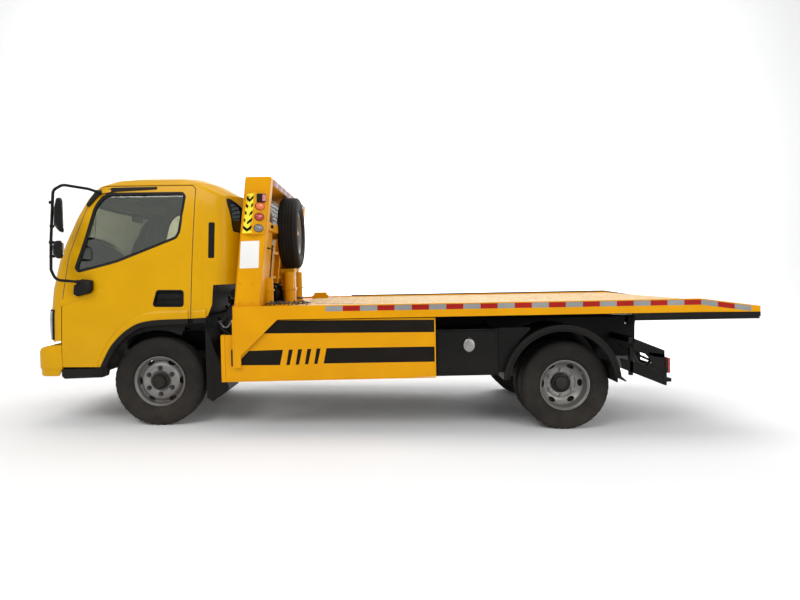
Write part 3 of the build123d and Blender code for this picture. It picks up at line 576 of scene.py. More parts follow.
def clear_shader(n, name):
    """Glass and lamp lenses: see-through for light, glossy at a slant."""
    colour, rough, passes, coat = CLEAR[name]
    place = n.add("ShaderNodeTexCoord").outputs["Object"]
    if name.endswith("glass"):
        smear = n.add("ShaderNodeTexNoise", Vector=place, Scale=2.2, Detail=5.0)
        tint = n.mix(n.ramp(smear.outputs[0], [(0.3, 0.0), (0.7, 1.0)]), (*colour, 1),
                     (colour[0] * 0.9, colour[1] * 0.9, colour[2] * 0.9, 1))
        clear = n.add("ShaderNodeBsdfTransparent", Color=tint)
        gloss = n.add("ShaderNodeBsdfGlossy", Color=(0.95, 1.0, 0.97, 1), Roughness=rough)
        slant = n.add("ShaderNodeFresnel", IOR=1.52)
        share = n.math("MULTIPLY_ADD", slant, 1.0)
        share.inputs[2].default_value = 0.05
        return n.add("ShaderNodeMixShader", _0=share, _1=clear, _2=gloss)
    ribs = n.add("ShaderNodeTexVoronoi", {"distance": "CHEBYCHEV"}, Vector=place, Scale=95.0)
    bump = n.add("ShaderNodeBump", Strength=0.35, Distance=0.002, Height=ribs.outputs[0])
    cloud = n.add("ShaderNodeTexNoise", Vector=place, Scale=30.0, Detail=4.0)
    tint = n.mix(cloud.outputs[0], (*colour, 1), (*[min(1.0, c * 1.25) for c in colour], 1))
    shader = n.add("ShaderNodeBsdfPrincipled", Base_Color=tint, Normal=bump)
    shader.inputs["Roughness"].default_value = rough
    shader.inputs["Transmission Weight"].default_value = passes
    shader.inputs["Coat Weight"].default_value = coat
    shader.inputs["IOR"].default_value = 1.46
    return shader


SLOT_OF = {look: slot for slot, looks in {  # the slot a look belongs to
    "body_yellow": "chevron yellow, deck floor, yellow deck paint, yellow paint",
    "cast_grey": "bare steel, cast iron, hub black, nut steel, wire rope",
    "chassis_black": "black paint",
    "lamp_clear": "lamp clear",
    "lamp_red": "lamp amber, lamp red",
    "rod_chrome": "mirror silver",
    "rubber_tyre": "hose rubber, tyre rubber",
    "seat_cloth": "seat cloth",
    "trim_black": "black plastic, black vinyl, cabin trim, rubber seal, tape red, "
                  "tape white, webbing, white film",
    "wheel_silver": "nut black, wheel paint"}.items() for look in looks.split(", ")}


# ---- surfaces of the cab -----------------------------------------------------------------
def cab_plan(z):
    """The cab outline's sizes at a height: bow centre, side start, turn, corner end, half."""
    half, front, rear = level(z, 2), level(z, 1), level(z, 3)
    centre = front + BOW_R
    start = centre - sqrt((BOW_R - CORNER_R) ** 2 - (half - CORNER_R) ** 2)
    turn = atan2(half - CORNER_R, centre - start)
    return centre, start, turn, rear - BACK_R, half


def cab_point(t, z, out=0.0):
    """A point on the cab's left skin: t millimetres round the outline from the front centre."""
    centre, start, turn, tail, half = cab_plan(z)
    if t < 0:
        x, y, z = cab_point(-t, z, out)
        return x, -y, z
    bow, arc = BOW_R * turn, CORNER_R * (pi / 2 - turn)
    if t <= bow:
        a = t / BOW_R
        return centre - (BOW_R + out) * cos(a), -(BOW_R + out) * sin(a), z
    if t <= bow + arc:
        a = turn + (t - bow) / CORNER_R
        return (start - (CORNER_R + out) * cos(a), CORNER_R - half - (CORNER_R + out) * sin(a), z)
    x = start + t - bow - arc
    if x <= tail:
        return x, -half - out, z
    a = (x - tail) / BACK_R
    if a <= pi / 2:
        return (tail + (BACK_R + out) * sin(a), BACK_R - half - (BACK_R + out) * cos(a), z)
    return tail + BACK_R + out, BACK_R - half + (a - pi / 2) * BACK_R, z


def side_t(x, z):
    """The outline distance of a place on the flat of the cab's side."""
    _, start, turn, _, _ = cab_plan(z)
    return BOW_R * turn + CORNER_R * (pi / 2 - turn) + x - start


def side_point(x, z, out=0.0):
    """A point on the cab's left skin at a place given as seen from the side."""
    return cab_point(side_t(x, z), z, out)


def front_t(y, z):
    """The outline distance of a place seen from the front."""
    _, _, turn, _, half = cab_plan(z)
    a = abs(y)
    if a <= BOW_R * sin(turn):
        t = BOW_R * asin(a / BOW_R)
    else:
        s = min(1.0, (a - half + CORNER_R) / CORNER_R)
        t = BOW_R * turn + CORNER_R * (asin(s) - turn)
    return t if y <= 0 else -t


def strip(shape, outer, inner, high, low):
    """A raised band between two matching closed lines of (t, z) on the cab's skin."""
    rings = []
    for (t, z), (u, w) in zip(outer, inner):
        m, q = (t + (u - t) * 0.3, z + (w - z) * 0.3), (t + (u - t) * 0.7, z + (w - z) * 0.7)
        rings.append([cab_point(t, z, high / 2), cab_point(*m, high), cab_point(*q, high),
                      cab_point(u, w, high / 2), cab_point(u, w, low), cab_point(t, z, low)])
    return shape.rings(rings, closed=True)


def sheet(shape, front, back):
    """A closed plate between two matching grids of points (rows of columns)."""
    rows, columns = len(front), len(front[0])
    points = [p for grid in (front, back) for row in grid for p in row]
    at = lambda g, r, c: g * rows * columns + r * columns + c
    faces = []
    for r in range(rows - 1):
        for c in range(columns - 1):
            faces.append((at(0, r, c), at(0, r, c + 1), at(0, r + 1, c + 1), at(0, r + 1, c)))
            faces.append((at(1, r, c), at(1, r + 1, c), at(1, r + 1, c + 1), at(1, r, c + 1)))
    for r in range(rows - 1):
        for c in (0, columns - 1):
            faces.append((at(0, r, c), at(0, r + 1, c), at(1, r + 1, c), at(1, r, c)))
    for c in range(columns - 1):
        for r in (0, rows - 1):
            faces.append((at(0, r, c), at(1, r, c), at(1, r, c + 1), at(0, r, c + 1)))
    shape.add(points, faces)


def skin_plate(shape, t_span, z_span, out, thick, columns=12, rows=4, dome=0.0):
    """A plate that follows the cab's skin; t_span may be a function of the height."""
    grids = [[], []]
    for r in range(rows + 1):
        z = z_span[0] + (z_span[1] - z_span[0]) * r / rows
        t0, t1 = t_span(z) if callable(t_span) else t_span
        for g, offset in enumerate((out, out - thick)):
            row = []
            for c in range(columns + 1):
                u, v = c / columns * 2 - 1, r / rows * 2 - 1
                lift = dome * (1 - u ** 4) * (1 - v ** 4) if g == 0 else 0
                row.append(cab_point(t0 + (t1 - t0) * c / columns, z, offset + lift))
            grids[g].append(row)
    sheet(shape, *grids)


def outline_t(points, seen="side"):
    """Turns (x, z) side points or (y, z) front points into (t, z) skin points."""
    turn = side_t if seen == "side" else front_t
    return [(turn(a, z), z) for a, z in points]


# ---- dressing the CAD solids -------------------------------------------------------------
def dress(node, body, looks, bevel, chooser):
    """A softened copy of a CAD solid that stands in for it; chooser picks a look by place."""
    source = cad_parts[node]
    mesh = source.data.copy()
    mesh.name = "dressed_" + node
    mesh.materials.clear()
    for look in looks if isinstance(looks, (list, tuple)) else [looks]:
        mesh.materials.append(material(look))
    bm = bmesh.new()
    bm.from_mesh(mesh)
    bmesh.ops.transform(bm, matrix=PLACE.inverted() @ source.matrix_world, verts=bm.verts[:])
    bmesh.ops.remove_doubles(bm, verts=bm.verts[:], dist=0.00002)
    bmesh.ops.dissolve_limit(bm, angle_limit=radians(0.6), use_dissolve_boundaries=False,
                             verts=bm.verts[:], edges=bm.edges[:])
    for face in bm.faces:
        face.material_index = 0
        if chooser:
            face.material_index = chooser(face.calc_center_median() / MM, face.normal)
    bm.to_mesh(mesh)
    bm.free()
    piece = bpy.data.objects.new("dressed_" + node, mesh)
    bpy.context.scene.collection.objects.link(piece)
    piece.matrix_world = PLACE
    for name in [a.name for a in mesh.attributes if a.name.startswith("custom_normal")]:
        mesh.attributes.remove(mesh.attributes[name])
    mesh.shade_smooth()
    mesh.set_sharp_from_angle(angle=radians(30))
    soft = piece.modifiers.new("softened edges", "BEVEL")
    soft.width, soft.segments = bevel * MM, 2
    soft.limit_method, soft.angle_limit = "ANGLE", radians(40)
    soft.use_clamp_overlap = True
    soft.harden_normals = True
    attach(piece, body)
    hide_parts(node)


BODY_OF = {node: body for body, names in (
    ("chassis", "ladder_frame engine_block propeller_shaft front_axle_beam rear_axle_housing "
     "front_springs rear_springs front_bumper rear_fenders front_mudguards underrun_beam "
     "rear_lamps side_guard_left side_guard_right side_box_left side_box_right cab_step_left "
     "cab_step_right"),
    ("cab", "cab_shell windscreen cab_rear_glass headlamps grille seats dashboard "
     "steering_wheel"),
    ("tilt_frame", "tilting_frame slide_cylinder_barrel"),
    ("tilt_barrels", "tilt_cylinder_barrels"), ("tilt_rods", "tilt_cylinder_rods"),
    ("deck", "deck headboard headboard_mesh spare_tyre spare_rim spare_carrier "
     "slide_cylinder_rod winch")) for node in names.split()}
for _side in ("left", "right"):
    for _node in ("door", "door_glass", "mirror"):
        BODY_OF[f"{_node}_{_side}"] = f"door_{_side}"
    BODY_OF[f"knuckle_{_side}"] = f"knuckle_{_side}"
    for _wheel in ("front", "rear"):
        for _part in ("tyre", "rim"):
            BODY_OF[f"{_wheel}_{_part}_{_side}"] = f"{_wheel}_wheel_{_side}"


def inside_cab(p, depth):
    """Whether a place lies deeper than depth behind the cab's outer skin."""
    x, y, z = p
    near_side = abs(cab_side_y(x, z)) - abs(y) < depth
    near_front = x - cab_front_x(y, z) < depth
    near_back = level(z, 3) - x < depth
    return not (near_side or near_front or near_back)


def cab_faces(p, normal):
    """Paint outside, trim inside, black in the wheel arch and underneath, and black painted shade on
    the low notch behind the seats.
    """
    behind = p[0] > 440
    if p[2] < 960 and abs(normal[1]) < 0.5 and p[0] > -790 and not behind:
        return 2
    if p[2] > 2030:
        return 1 if normal[2] < 0 else 0
    if not inside_cab(p, 25):
        return 0
    # painted shade: the rear-facing wall and the underside of the low notch behind the seats are
    # painted black, because shade falls there
    if behind and p[2] < 1225 and (normal[2] < -0.5 or normal[0] > 0.5):
        return 2
    return 1 if p[2] > 1010 else 2


FINISHES = {name.replace("*", side): row for name, row in {  # node: slot, looks, bevel, chooser
    "cab_shell": ("body_yellow", ("yellow paint", "cabin trim", "black paint"), 3, cab_faces),
    "door_*": ("body_yellow", ("yellow paint", "cabin trim", "black paint"), 2.5, cab_faces),
    "deck": ("body_yellow", ("yellow deck paint", "black paint"), 2,
             lambda p, n: int(p[2] < 1000 and (abs(p[1]) < 1085 or n[2] < -0.5))),
    "side_guard_*": ("body_yellow", ("yellow deck paint", "black paint"), 2.5,
                     lambda p, n: int(abs(p[1]) < 1000)),
    "side_box_*": ("chassis_black", "black paint", 5, None),
    "cab_step_*": ("trim_black", "black plastic", 6, None),
    "rear_fenders": ("chassis_black", "black plastic", 2.5, None),
    "front_mudguards": ("chassis_black", "black plastic", 3, None),
    "underrun_beam": ("chassis_black", "black paint", 3, None),
    "ladder_frame": ("chassis_black", "black paint", 3, None),
    "tilting_frame": ("chassis_black", "black paint", 2, None),
    "front_springs": ("cast_grey", "black paint", 2, None),
    "rear_springs": ("cast_grey", "black paint", 2, None),
    "front_axle_beam": ("cast_grey", "cast iron", 5, None),
    "rear_axle_housing": ("cast_grey", "cast iron", 5, None),
    "engine_block": ("cast_grey", "engine paint", 10, None),
    "dashboard": ("trim_black", "cabin trim", 14, None),
    "spare_carrier": ("body_yellow", "yellow deck paint", 4, None),
}.items() for side in (("left", "right") if "*" in name else ("",))}


def dress_solids():
    """Softened copies of the main solids, and a finish on every other one."""
    for node, (slot, looks, bevel, chooser) in FINISHES.items():
        dress(node, BODY_OF[node], looks, bevel, chooser)
    for node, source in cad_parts.items():
        if node in FINISHES:
            look = FINISHES[node][1]
            look = look if isinstance(look, str) else look[0]
        else:
            look = look_by_word(node)
        source.data.materials.clear()
        source.data.materials.append(material(look))


def look_by_word(node):
    """The finish of a CAD solid that has no dressed copy."""
    for word, look in (("headboard_mesh", "black paint"), ("headboard", "yellow deck paint"),
                       ("rear_glass", "tinted glass"), ("tyre", "tyre rubber"),
                       ("rim", "wheel paint"), ("glass", "window glass"),
                       ("windscreen", "window glass"), ("headlamp", "lamp clear"),
                       ("rear_lamps", "lamp red"), ("grille", "black plastic"),
                       ("seats", "seat cloth"), ("mirror", "black plastic"),
                       ("steering", "black plastic"), ("cylinder_rod", "chrome rod"),
                       ("knuckle", "cast iron")):
        if word in node:
            return look
    return "black paint"


# ---- wheels ------------------------------------------------------------------------------
RIM_R, SEAT_R, RIM_HALF, NUT_R = 215.5, 203, TYRE_W / 2 - 27, 112
TREAD_RIBS = 5


def tyre_outline(radius, flange):
    """Tread with grooves, shoulders and ringed side walls, as (offset, radius)."""
    half, wall = TYRE_W / 2, radius - flange
    edge = half - 25
    tread = [(-edge, radius - 5), (-edge + 7, radius)]
    for k in range(TREAD_RIBS - 1):
        c = -edge + 2 * edge * (k + 1) / TREAD_RIBS
        tread += [(c - 5, radius), (c - 3.4, radius - 10), (c + 3.4, radius - 10), (c + 5, radius)]
    tread += [(edge - 7, radius), (edge, radius - 5)]
    side = [(half - 15, radius - 13), (half - 8, radius - wall * 0.20),
            (half - 5.5, radius - wall * 0.24), (half - 5.0, radius - wall * 0.27),
            (half - 1.5, radius - wall * 0.38), (half - 0.5, radius - wall * 0.50),
            (half - 2.5, radius - wall * 0.60), (half - 2.5, radius - wall * 0.615),
            (half - 5.0, radius - wall * 0.63), (half - 7.5, radius - wall * 0.74),
            (half - 12, flange + 25), (half - 13.2, flange + 22), (half - 16, flange + 20),
            (half - 21, flange + 6), (RIM_HALF + 1, flange + 2), (RIM_HALF - 12, flange + 2),
            (RIM_HALF - 16, flange - 11.5)]
    return tread + side + [(-a, r) for a, r in reversed(side)]


def add_tyre(shape, centre, axis, radius=TYRE_R, flange=RIM_R):
    """A tyre about an axis; the road wheels' sizes unless others are given."""
    outline = tyre_outline(radius, flange)
    marks = {i for i, (off, r) in enumerate(outline)
             if r > radius - 14 and abs(off) > TYRE_W / 2 - 34}

    def blocks(a, r, i):
        """Notches in the shoulders, between the blocks."""
        return r - 2.5 if i in marks and int(round(a / (2 * pi) * 132)) % 3 == 0 else r
    return shape.lathe(outline, centre, axis, steps=132, wave=blocks)


def disc_outline(style, seat, flange):
    """A steel wheel's section as (outward offset, radius); the disc is proud or sunk."""
    h = RIM_HALF
    outer = [(h - 2, flange), (h, flange - 2), (h, flange - 6), (h - 3, flange - 9),
             (h - 8, flange - 12), (h - 13, seat - 6), (h - 26, seat - 9)]
    if style == "proud":
        disc = [(16, seat - 12), (6, seat - 17), (5, seat - 22), (12, seat - 28), (26, seat - 40),
                (36, seat - 52), (41, seat - 62), (42, 128), (45, 124), (45, 92), (40, 84),
                (32, 80), (30, 1), (20, 1), (21, 78), (31, 90), (32, 128), (28, seat - 58),
                (14, seat - 38), (0, seat - 26), (-8, seat - 16)]
    else:
        disc = [(-26, seat - 11), (-36, seat - 15), (-42, seat - 20), (-50, seat - 32),
                (-60, seat - 46), (-67, seat - 56), (-69, 132), (-66, 126), (-66, 98), (-70, 90),
                (-72, 1), (-84, 1), (-82, 92), (-81, 134), (-76, seat - 50), (-64, seat - 32),
                (-55, seat - 18)]
    inner = [(-46 if style == "proud" else -66, seat - 10), (-h + 8, flange - 12),
             (-h + 3, flange - 9), (-h, flange - 6), (-h, flange - 2), (-h + 2, flange),
             (-h + 8, flange), (-h + 12, seat + 1), (h - 12, seat + 1), (h - 8, flange)]
    return outer + disc + inner


def wheel_disc(name, body, centre, axis, out, style, seat=SEAT_R, flange=RIM_R, slots=True,
               replaces=()):
    """A rim with its disc; six oval hand holes are cut when asked for."""
    shape = Shape()
    shape.lathe([(out * a, r) for a, r in disc_outline(style, seat, flange)], centre, axis,
                steps=96)
    piece = shape.to_object(name, body, "wheel paint", sharp=28, replaces=replaces)
    if slots:
        holes = Shape()
        place = 176 if style == "proud" else 164
        along, across = (1, 0) if axis == "y" else (0, 1)
        for k in range(6):
            a = pi / 3 * k
            ring = [((place + v) * cos(a) - u * sin(a), (place + v) * sin(a) + u * cos(a))
                    for u, v in oval(33, 19, 20)]
            holes.prism([(centre[across] + p, centre[2] + q) for p, q in ring], axis,
                        centre[along] - 95, centre[along] + 95)
        carve(piece, holes)
        piece.data.set_sharp_from_angle(angle=radians(28))


def nut_ring(shape, centre, out, face):
    """Six wheel nuts on cones, with stud ends."""
    for k in range(6):
        a = pi / 6 + pi / 3 * k
        at = (centre[0] + NUT_R * cos(a), 0, centre[2] + NUT_R * sin(a))
        for low, high, radius, steps in ((0, 5, 21, 20), (4, 23, 16, 6), (22, 31, 8, 12)):
            shape.disc(at, "y", centre[1] + out * (face + low), centre[1] + out * (face + high),
                       radius, steps=steps)
    return shape


def dress_wheels():
    """Tyres with tread, pressed steel wheels, nuts and hubs on all four corners."""
    for side, s in SIDES:
        # front: the disc stands proud
        body, centre = f"front_wheel_{side}", (FRONT_X, s * FRONT_Y, FRONT_Z)
        add_tyre(Shape(), centre, "y").to_object(
            f"front_tread_{side}", body, "tyre rubber",
            replaces=[f"front_tyre_{side}"])
        wheel_disc(f"front_disc_{side}", body, centre, "y", s, "proud",
                   replaces=[f"front_rim_{side}"])
        nut_ring(Shape(), centre, s, 44).to_object(
            f"front_nuts_{side}", body, "nut black", bevel=1.5)
        hub = Shape().lathe([(s * a, r) for a, r in ((20, 1), (20, 74), (46, 74), (50, 71),
                (52, 60), (60, 57), (80, 52), (88, 46), (91, 34), (91, 1))], centre, "y", 48)
        hub.lathe([(s * a, r) for a, r in ((-90, 1), (-90, 96), (-40, 100), (22, 98), (22, 1))],
                  centre, "y", 48)
        hub.lathe([(s * a, r) for a, r in ((90, 30), (90, 36), (93, 36), (93, 30))], centre,
                  "y", 40)
        for k in range(5):
            a = 2 * pi * k / 5
            hub.disc((centre[0] + 43 * cos(a), centre[1], centre[2] + 43 * sin(a)), "y",
                     centre[1] + s * 78, centre[1] + s * 92, 5, steps=6)
        hub.to_object(f"front_hub_{side}", body, "hub black", bevel=1)
        # rear: twin wheels, the outer disc sunk deep
        body = f"rear_wheel_{side}"
        tyres = Shape()
        for y in (REAR_OUT_Y, REAR_IN_Y):
            add_tyre(tyres, (REAR_X, s * y, REAR_Z), "y")
        tyres.to_object(f"rear_treads_{side}", body, "tyre rubber", replaces=[f"rear_tyre_{side}"])
        centre = (REAR_X, s * REAR_OUT_Y, REAR_Z)
        wheel_disc(f"rear_disc_{side}", body, centre, "y", s, "sunk",
                   replaces=[f"rear_rim_{side}"])
        wheel_disc(f"rear_inner_disc_{side}", body, (REAR_X, s * REAR_IN_Y, REAR_Z), "y", -s,
                   "sunk", slots=False)
        nut_ring(Shape(), centre, s, -67).to_object(
            f"rear_nuts_{side}", body, "nut steel", bevel=1.5, slot="wheel_silver")
        hub = Shape().lathe([(s * a, r) for a, r in (
            (-150, 1), (-150, 186), (-92, 190), (-88, 150), (-86, 88), (-56, 84), (-46, 80),
            (-42, 66), (-30, 62), (-22, 54), (-18, 40), (-18, 1))], centre, "y", 48)
        for k in range(8):
            a = pi / 4 * k
            hub.disc((centre[0] + 73 * cos(a), centre[1], centre[2] + 73 * sin(a)), "y",
                     centre[1] + s * -48, centre[1] + s * -36, 6.5, steps=6)
        hub.to_object(f"rear_hub_{side}", body, "hub black", bevel=1)
        valve = Shape().tube([(REAR_X + 150, s * (REAR_OUT_Y + 20), REAR_Z + 96),
                              (REAR_X + 152, s * (REAR_OUT_Y + 44), REAR_Z + 98)], 4, 8)
        valve.to_object(f"rear_valve_{side}", body, "nut steel")
    # brake gear behind the front wheels
    for side, s in SIDES:
        drum = Shape().lathe([(s * a, r) for a, r in ((-84, 60), (-84, 178), (-76, 190),
                (-18, 190), (-18, 60))], (FRONT_X, s * FRONT_Y, FRONT_Z), "y", 48)
        drum.to_object(f"front_drum_{side}", f"front_wheel_{side}", "hub black", bevel=2)


# ---- cab: glass surrounds, doors, mirrors, front -----------------------------------------
DOOR_WINDOW = [(-628, 1356), (-605, 1322), (-287, 1401), (209, 1594), (236, 1644), (283, 1945),
               (262, 1975), (-375, 1975), (-461, 1879), (-545, 1588)]
WINDOW_BENDS = [30, 30, 900, 60, 70, 30, 30, 150, 260, 1200]
ARCH = [(-450, 520), (-348, 706), (-194, 846), (-26, 902), (308, 914)]
HANDLE = [(2, 1025), (40, 1155), (255, 1151), (251, 1021)]
# the arch's painted lip and black edging: offsets, how proud each stands, and the inner face
ARCH_LIP = (1, 8, 50, 64, 78), (9, 12, 13, 9, 0.3), -3
ARCH_EDGING = (-46, -42, -22, -2, 3), (8, 16, 18, 15, 7), -24


def put(shape, name, body, looks, side=None, **extra):
    """Makes the object for one side, or as it is; a right-hand piece is the mirror image."""
    if side == "right":
        shape.flipped()
    if side:
        name, body = f"{name}_{side}", body.replace("*", side)
    return shape.to_object(name, body, looks, **extra)


def arch_run(offset, x0, x1):
    """Points along the wheel arch, moved outwards from the wheel by offset."""
    knots = [Vector(p) for p in [(-480, 464), (-470, 484)] + ARCH
             + [(470, 922), (540, 922), (600, 922)]]
    smooth = []
    for a, b, c, d in zip(knots, knots[1:], knots[2:], knots[3:]):
        parts = max(2, int((c - b).length / 18))
        for k in range(parts):
            t = k / parts
            p = (2 * b + (c - a) * t + (2 * a - 5 * b + 4 * c - d) * t * t
                 + (3 * b - a - 3 * c + d) * t ** 3) / 2
            smooth.append((p.x, p.y))
    made = []
    for i, p in enumerate(smooth):
        a, b = smooth[max(0, i - 1)], smooth[min(len(smooth) - 1, i + 1)]
        n = Vector((a[1] - b[1], b[0] - a[0])).normalized()
        q = (p[0] + n.x * offset, p[1] + n.y * offset)
        if x0 <= p[0] <= x1:
            made.append(q)
    return made


def arch_strip(shape, offsets, heights, low, x0, x1):
    """A band along the arch: offsets from its edge, and how proud it stands at each.

    The band is half as wide at its front end as over the wheel."""
    def widened(offset):
        full = arch_run(offset, x0, x1)
        if offset <= 0:
            return full
        slim = arch_run(offset * 0.5, x0, x1)
        made = []
        for a, b in zip(slim, full):
            f = min(1.0, max(0.0, (a[0] + 440) / 380))
            made.append((a[0] + (b[0] - a[0]) * f, a[1] + (b[1] - a[1]) * f))
        return made
    lines = [widened(o) for o in offsets]
    rings = []
    for k in range(len(lines[0])):
        ring = [side_point(*line[k], h) for line, h in zip(lines, heights)]
        ring += [side_point(*line[k], low) for line in (lines[-1], lines[0])]
        rings.append(ring)
    return shape.rings(rings)


def dress_doors():
    """Window seals, creases, handles and weather strips of both doors."""
    for side in ("left", "right"):
        body = "door_*"
        outer, inner = (outline_t(rounded(inset(DOOR_WINDOW, by), WINDOW_BENDS))
                        for by in (-7, 15))
        put(strip(Shape(), outer, inner, 2.5, -22), "window_seal", body, "rubber seal", side)
        # the belt crease that rises from the lamp to the window
        line = [(-766, 1041), (-738, 1053), (-455, 1138), (-300, 1205)]
        crease = rounded(line, 300, 6, closed=False)
        rings = []
        for i, (x, z) in enumerate(crease):
            fade = min(1.0, (len(crease) - 1 - i) / 8)
            rings.append([side_point(x, z + 46, 0.2), side_point(x, z + 14, 3.2 * fade + 0.3),
                          side_point(x, z, 5.5 * fade + 0.3), side_point(x, z - 9, 0.2),
                          side_point(x, z - 9, -2), side_point(x, z + 46, -2)])
        put(Shape().rings(rings), "belt_crease", body, "yellow paint", side, sharp=60)
        # the flared lip round the wheel arch
        lip = arch_strip(Shape(), *ARCH_LIP, -445, 306)
        put(lip, "arch_lip", body, "yellow paint", side, sharp=50)
        edge = arch_strip(Shape(), *ARCH_EDGING, -448, 307)
        put(edge, "arch_edging", body, "black plastic", side, sharp=40)
        # the handle in its recess
        cut = Shape().prism(rounded(HANDLE, 24), "y", -960, -905)
        cut = cut.flipped() if side == "right" else cut
        carve(bpy.data.objects[f"dressed_door_{side}"], cut)
        cup = Shape()
        rim = rounded(inset(HANDLE, -7), 30)
        hole = rounded(inset(HANDLE, 4), 20)
        deep = rounded(inset(HANDLE, 14), 18)
        rings = []
        for a, b, c in zip(rim, hole, deep):
            rings.append([(a[0], -931, a[1]), (b[0], -934, b[1]), (b[0], -930, b[1]),
                          (c[0], -912, c[1]), (c[0], -907, c[1]), (a[0], -926, a[1])])
        cup.rings(rings, closed=True)
        cup.prism(rounded(inset(HANDLE, 10), 18), "y", -912, -907)
        put(cup, "handle_cup", body, "black plastic", side, bevel=1)
        grip = Shape()
        for x0, x1, z0, z1, y in ((38, 238, 1085, 1126, -931), (232, 249, 1078, 1134, -929)):
            grip.prism(rounded([(x0, z0), (x0 + 12, z1), (x1, z1), (x1, z0)], 10), "y", y - 3,
                       y + 14)
        grip.disc((70, 0, 1060), "y", -920, -908, 9)
        put(grip, "handle_grip", body, "black plastic", side, bevel=3)
        # a drip rail over the window, with the mirror's bracket on the pillar
        rail = [(-470, 1986), (-320, 2024), (-283, 2024), (46, 2027), (46, 2006), (-277, 1990),
                (-425, 1966)]
        grid = [side_point(x, z, 9) for x, z in rail]
        back = [side_point(x, z, -2) for x, z in rail]
        put(Shape().rings([grid, back]), "window_visor", body, "black plastic", side, bevel=2)
        plate = [(-546, 1884), (-489, 2009), (-425, 2009), (-405, 1975), (-436, 1950),
                 (-486, 1896), (-520, 1862)]
        plate = rounded(plate, 12)
        grid = [side_point(x, z, 16) for x, z in plate]
        back = [side_point(x, z, -2) for x, z in plate]
        put(Shape().rings([grid, back]), "mirror_bracket", body, "black plastic", side, bevel=4)


MIRROR_PATH = [(-405, -906, 1975), (-480, -960, 2004), (-641, -1060, 2026), (-698, -1100, 1979),
               (-729, -1100, 1580), (-738, -1100, 1339), (-702, -1100, 1258), (-543, -960, 1235)]


MIRROR_HEADS = [  # name, x, z, side outline, half width, the glass's half sizes and offset
    ("main", -654, 1776, [(-14, 134), (20, 142), (33, 112), (34, -100), (28, -142), (-4, -128),
                          (-38, -80), (-33, 50)], 88, (72, 112, 35)),
    ("spot", -666, 1502, [(-20, 70), (20, 73), (34, 40), (36, -40), (20, -72), (-14, -73),
                          (-40, -40), (-41, 30)], 75, (56, 50, 37))]


def pod(shape, outline, y0, y1, soft):
    """A rounded mirror housing: an outline in (x, z), swelling between two y values."""
    steps = 9
    rings = []
    cx = sum(p[0] for p in outline) / len(outline)
    cz = sum(p[1] for p in outline) / len(outline)
    for k in range(steps):
        v = -1 + 2 * k / (steps - 1)
        size = (1 - abs(v) ** 3.2 * soft)
        y = y0 + (y1 - y0) * (v + 1) / 2
        rings.append([(cx + (x - cx) * size, y, cz + (z - cz) * size) for x, z in outline])
    return shape.rings(rings)


def dress_mirrors():
    """Hoop mirrors on both doors, with their glasses and foot blocks."""
    for side in ("left", "right"):
        arm = Shape().tube(rounded(MIRROR_PATH, 60, 6, closed=False), 11.5, 14)
        arm.tube([(-405, -906, 1975), (-438, -930, 1988)], 16, 12)
        arm.tube([(-585, -998, 1241), (-543, -955, 1235)], 16, 12)
        foot = rounded([(-629, 1136), (-600, 1118), (-500, 1142), (-477, 1170), (-476, 1250),
                        (-560, 1262), (-574, 1244), (-622, 1210)], 10)
        pod(arm, foot, -994, -925, 0.16)
        for z in (1690, 1880, 1450, 1560):
            arm.block((-742 if z < 1600 else -730, -704), (-1112, -1088), (z - 12, z + 12), soft=4)
        put(arm, "mirror_arm", "door_*", "black plastic", side, sharp=50,
            replaces=[f"mirror_{side}"])
        for name, x, z, outline, wide, glass in MIRROR_HEADS:
            place = Matrix.Translation((x, -1110, z)) @ Matrix.Rotation(radians(24), 4, "Z")
            head = pod(Shape(), rounded(outline, 16), -wide, wide, 0.24)
            put(head.turned(place), f"mirror_{name}", "door_*", "black plastic", side, sharp=60)
            face = Shape().prism(square(glass[0], glass[1], 20), "x", glass[2] - 4, glass[2])
            put(face.turned(place), f"mirror_{name}_glass", "door_*", "mirror silver", side)


BUMPER_X, BUMPER_HALF, BUMPER_BEND, BUMPER_BOW = -1030, 930, 110, 9000
BUMPER_LEVELS = [  # height, how far the skin stands back
    (450, 20), (458, 12), (508, 8), (515, 2), (522, 0), (650, 0), (680, 2), (700, 7),
    (711, 14), (717, 24)]
QUARTER = [(-853, 1648), (-730, 1618), (-730, 1846), (-862, 1928)]


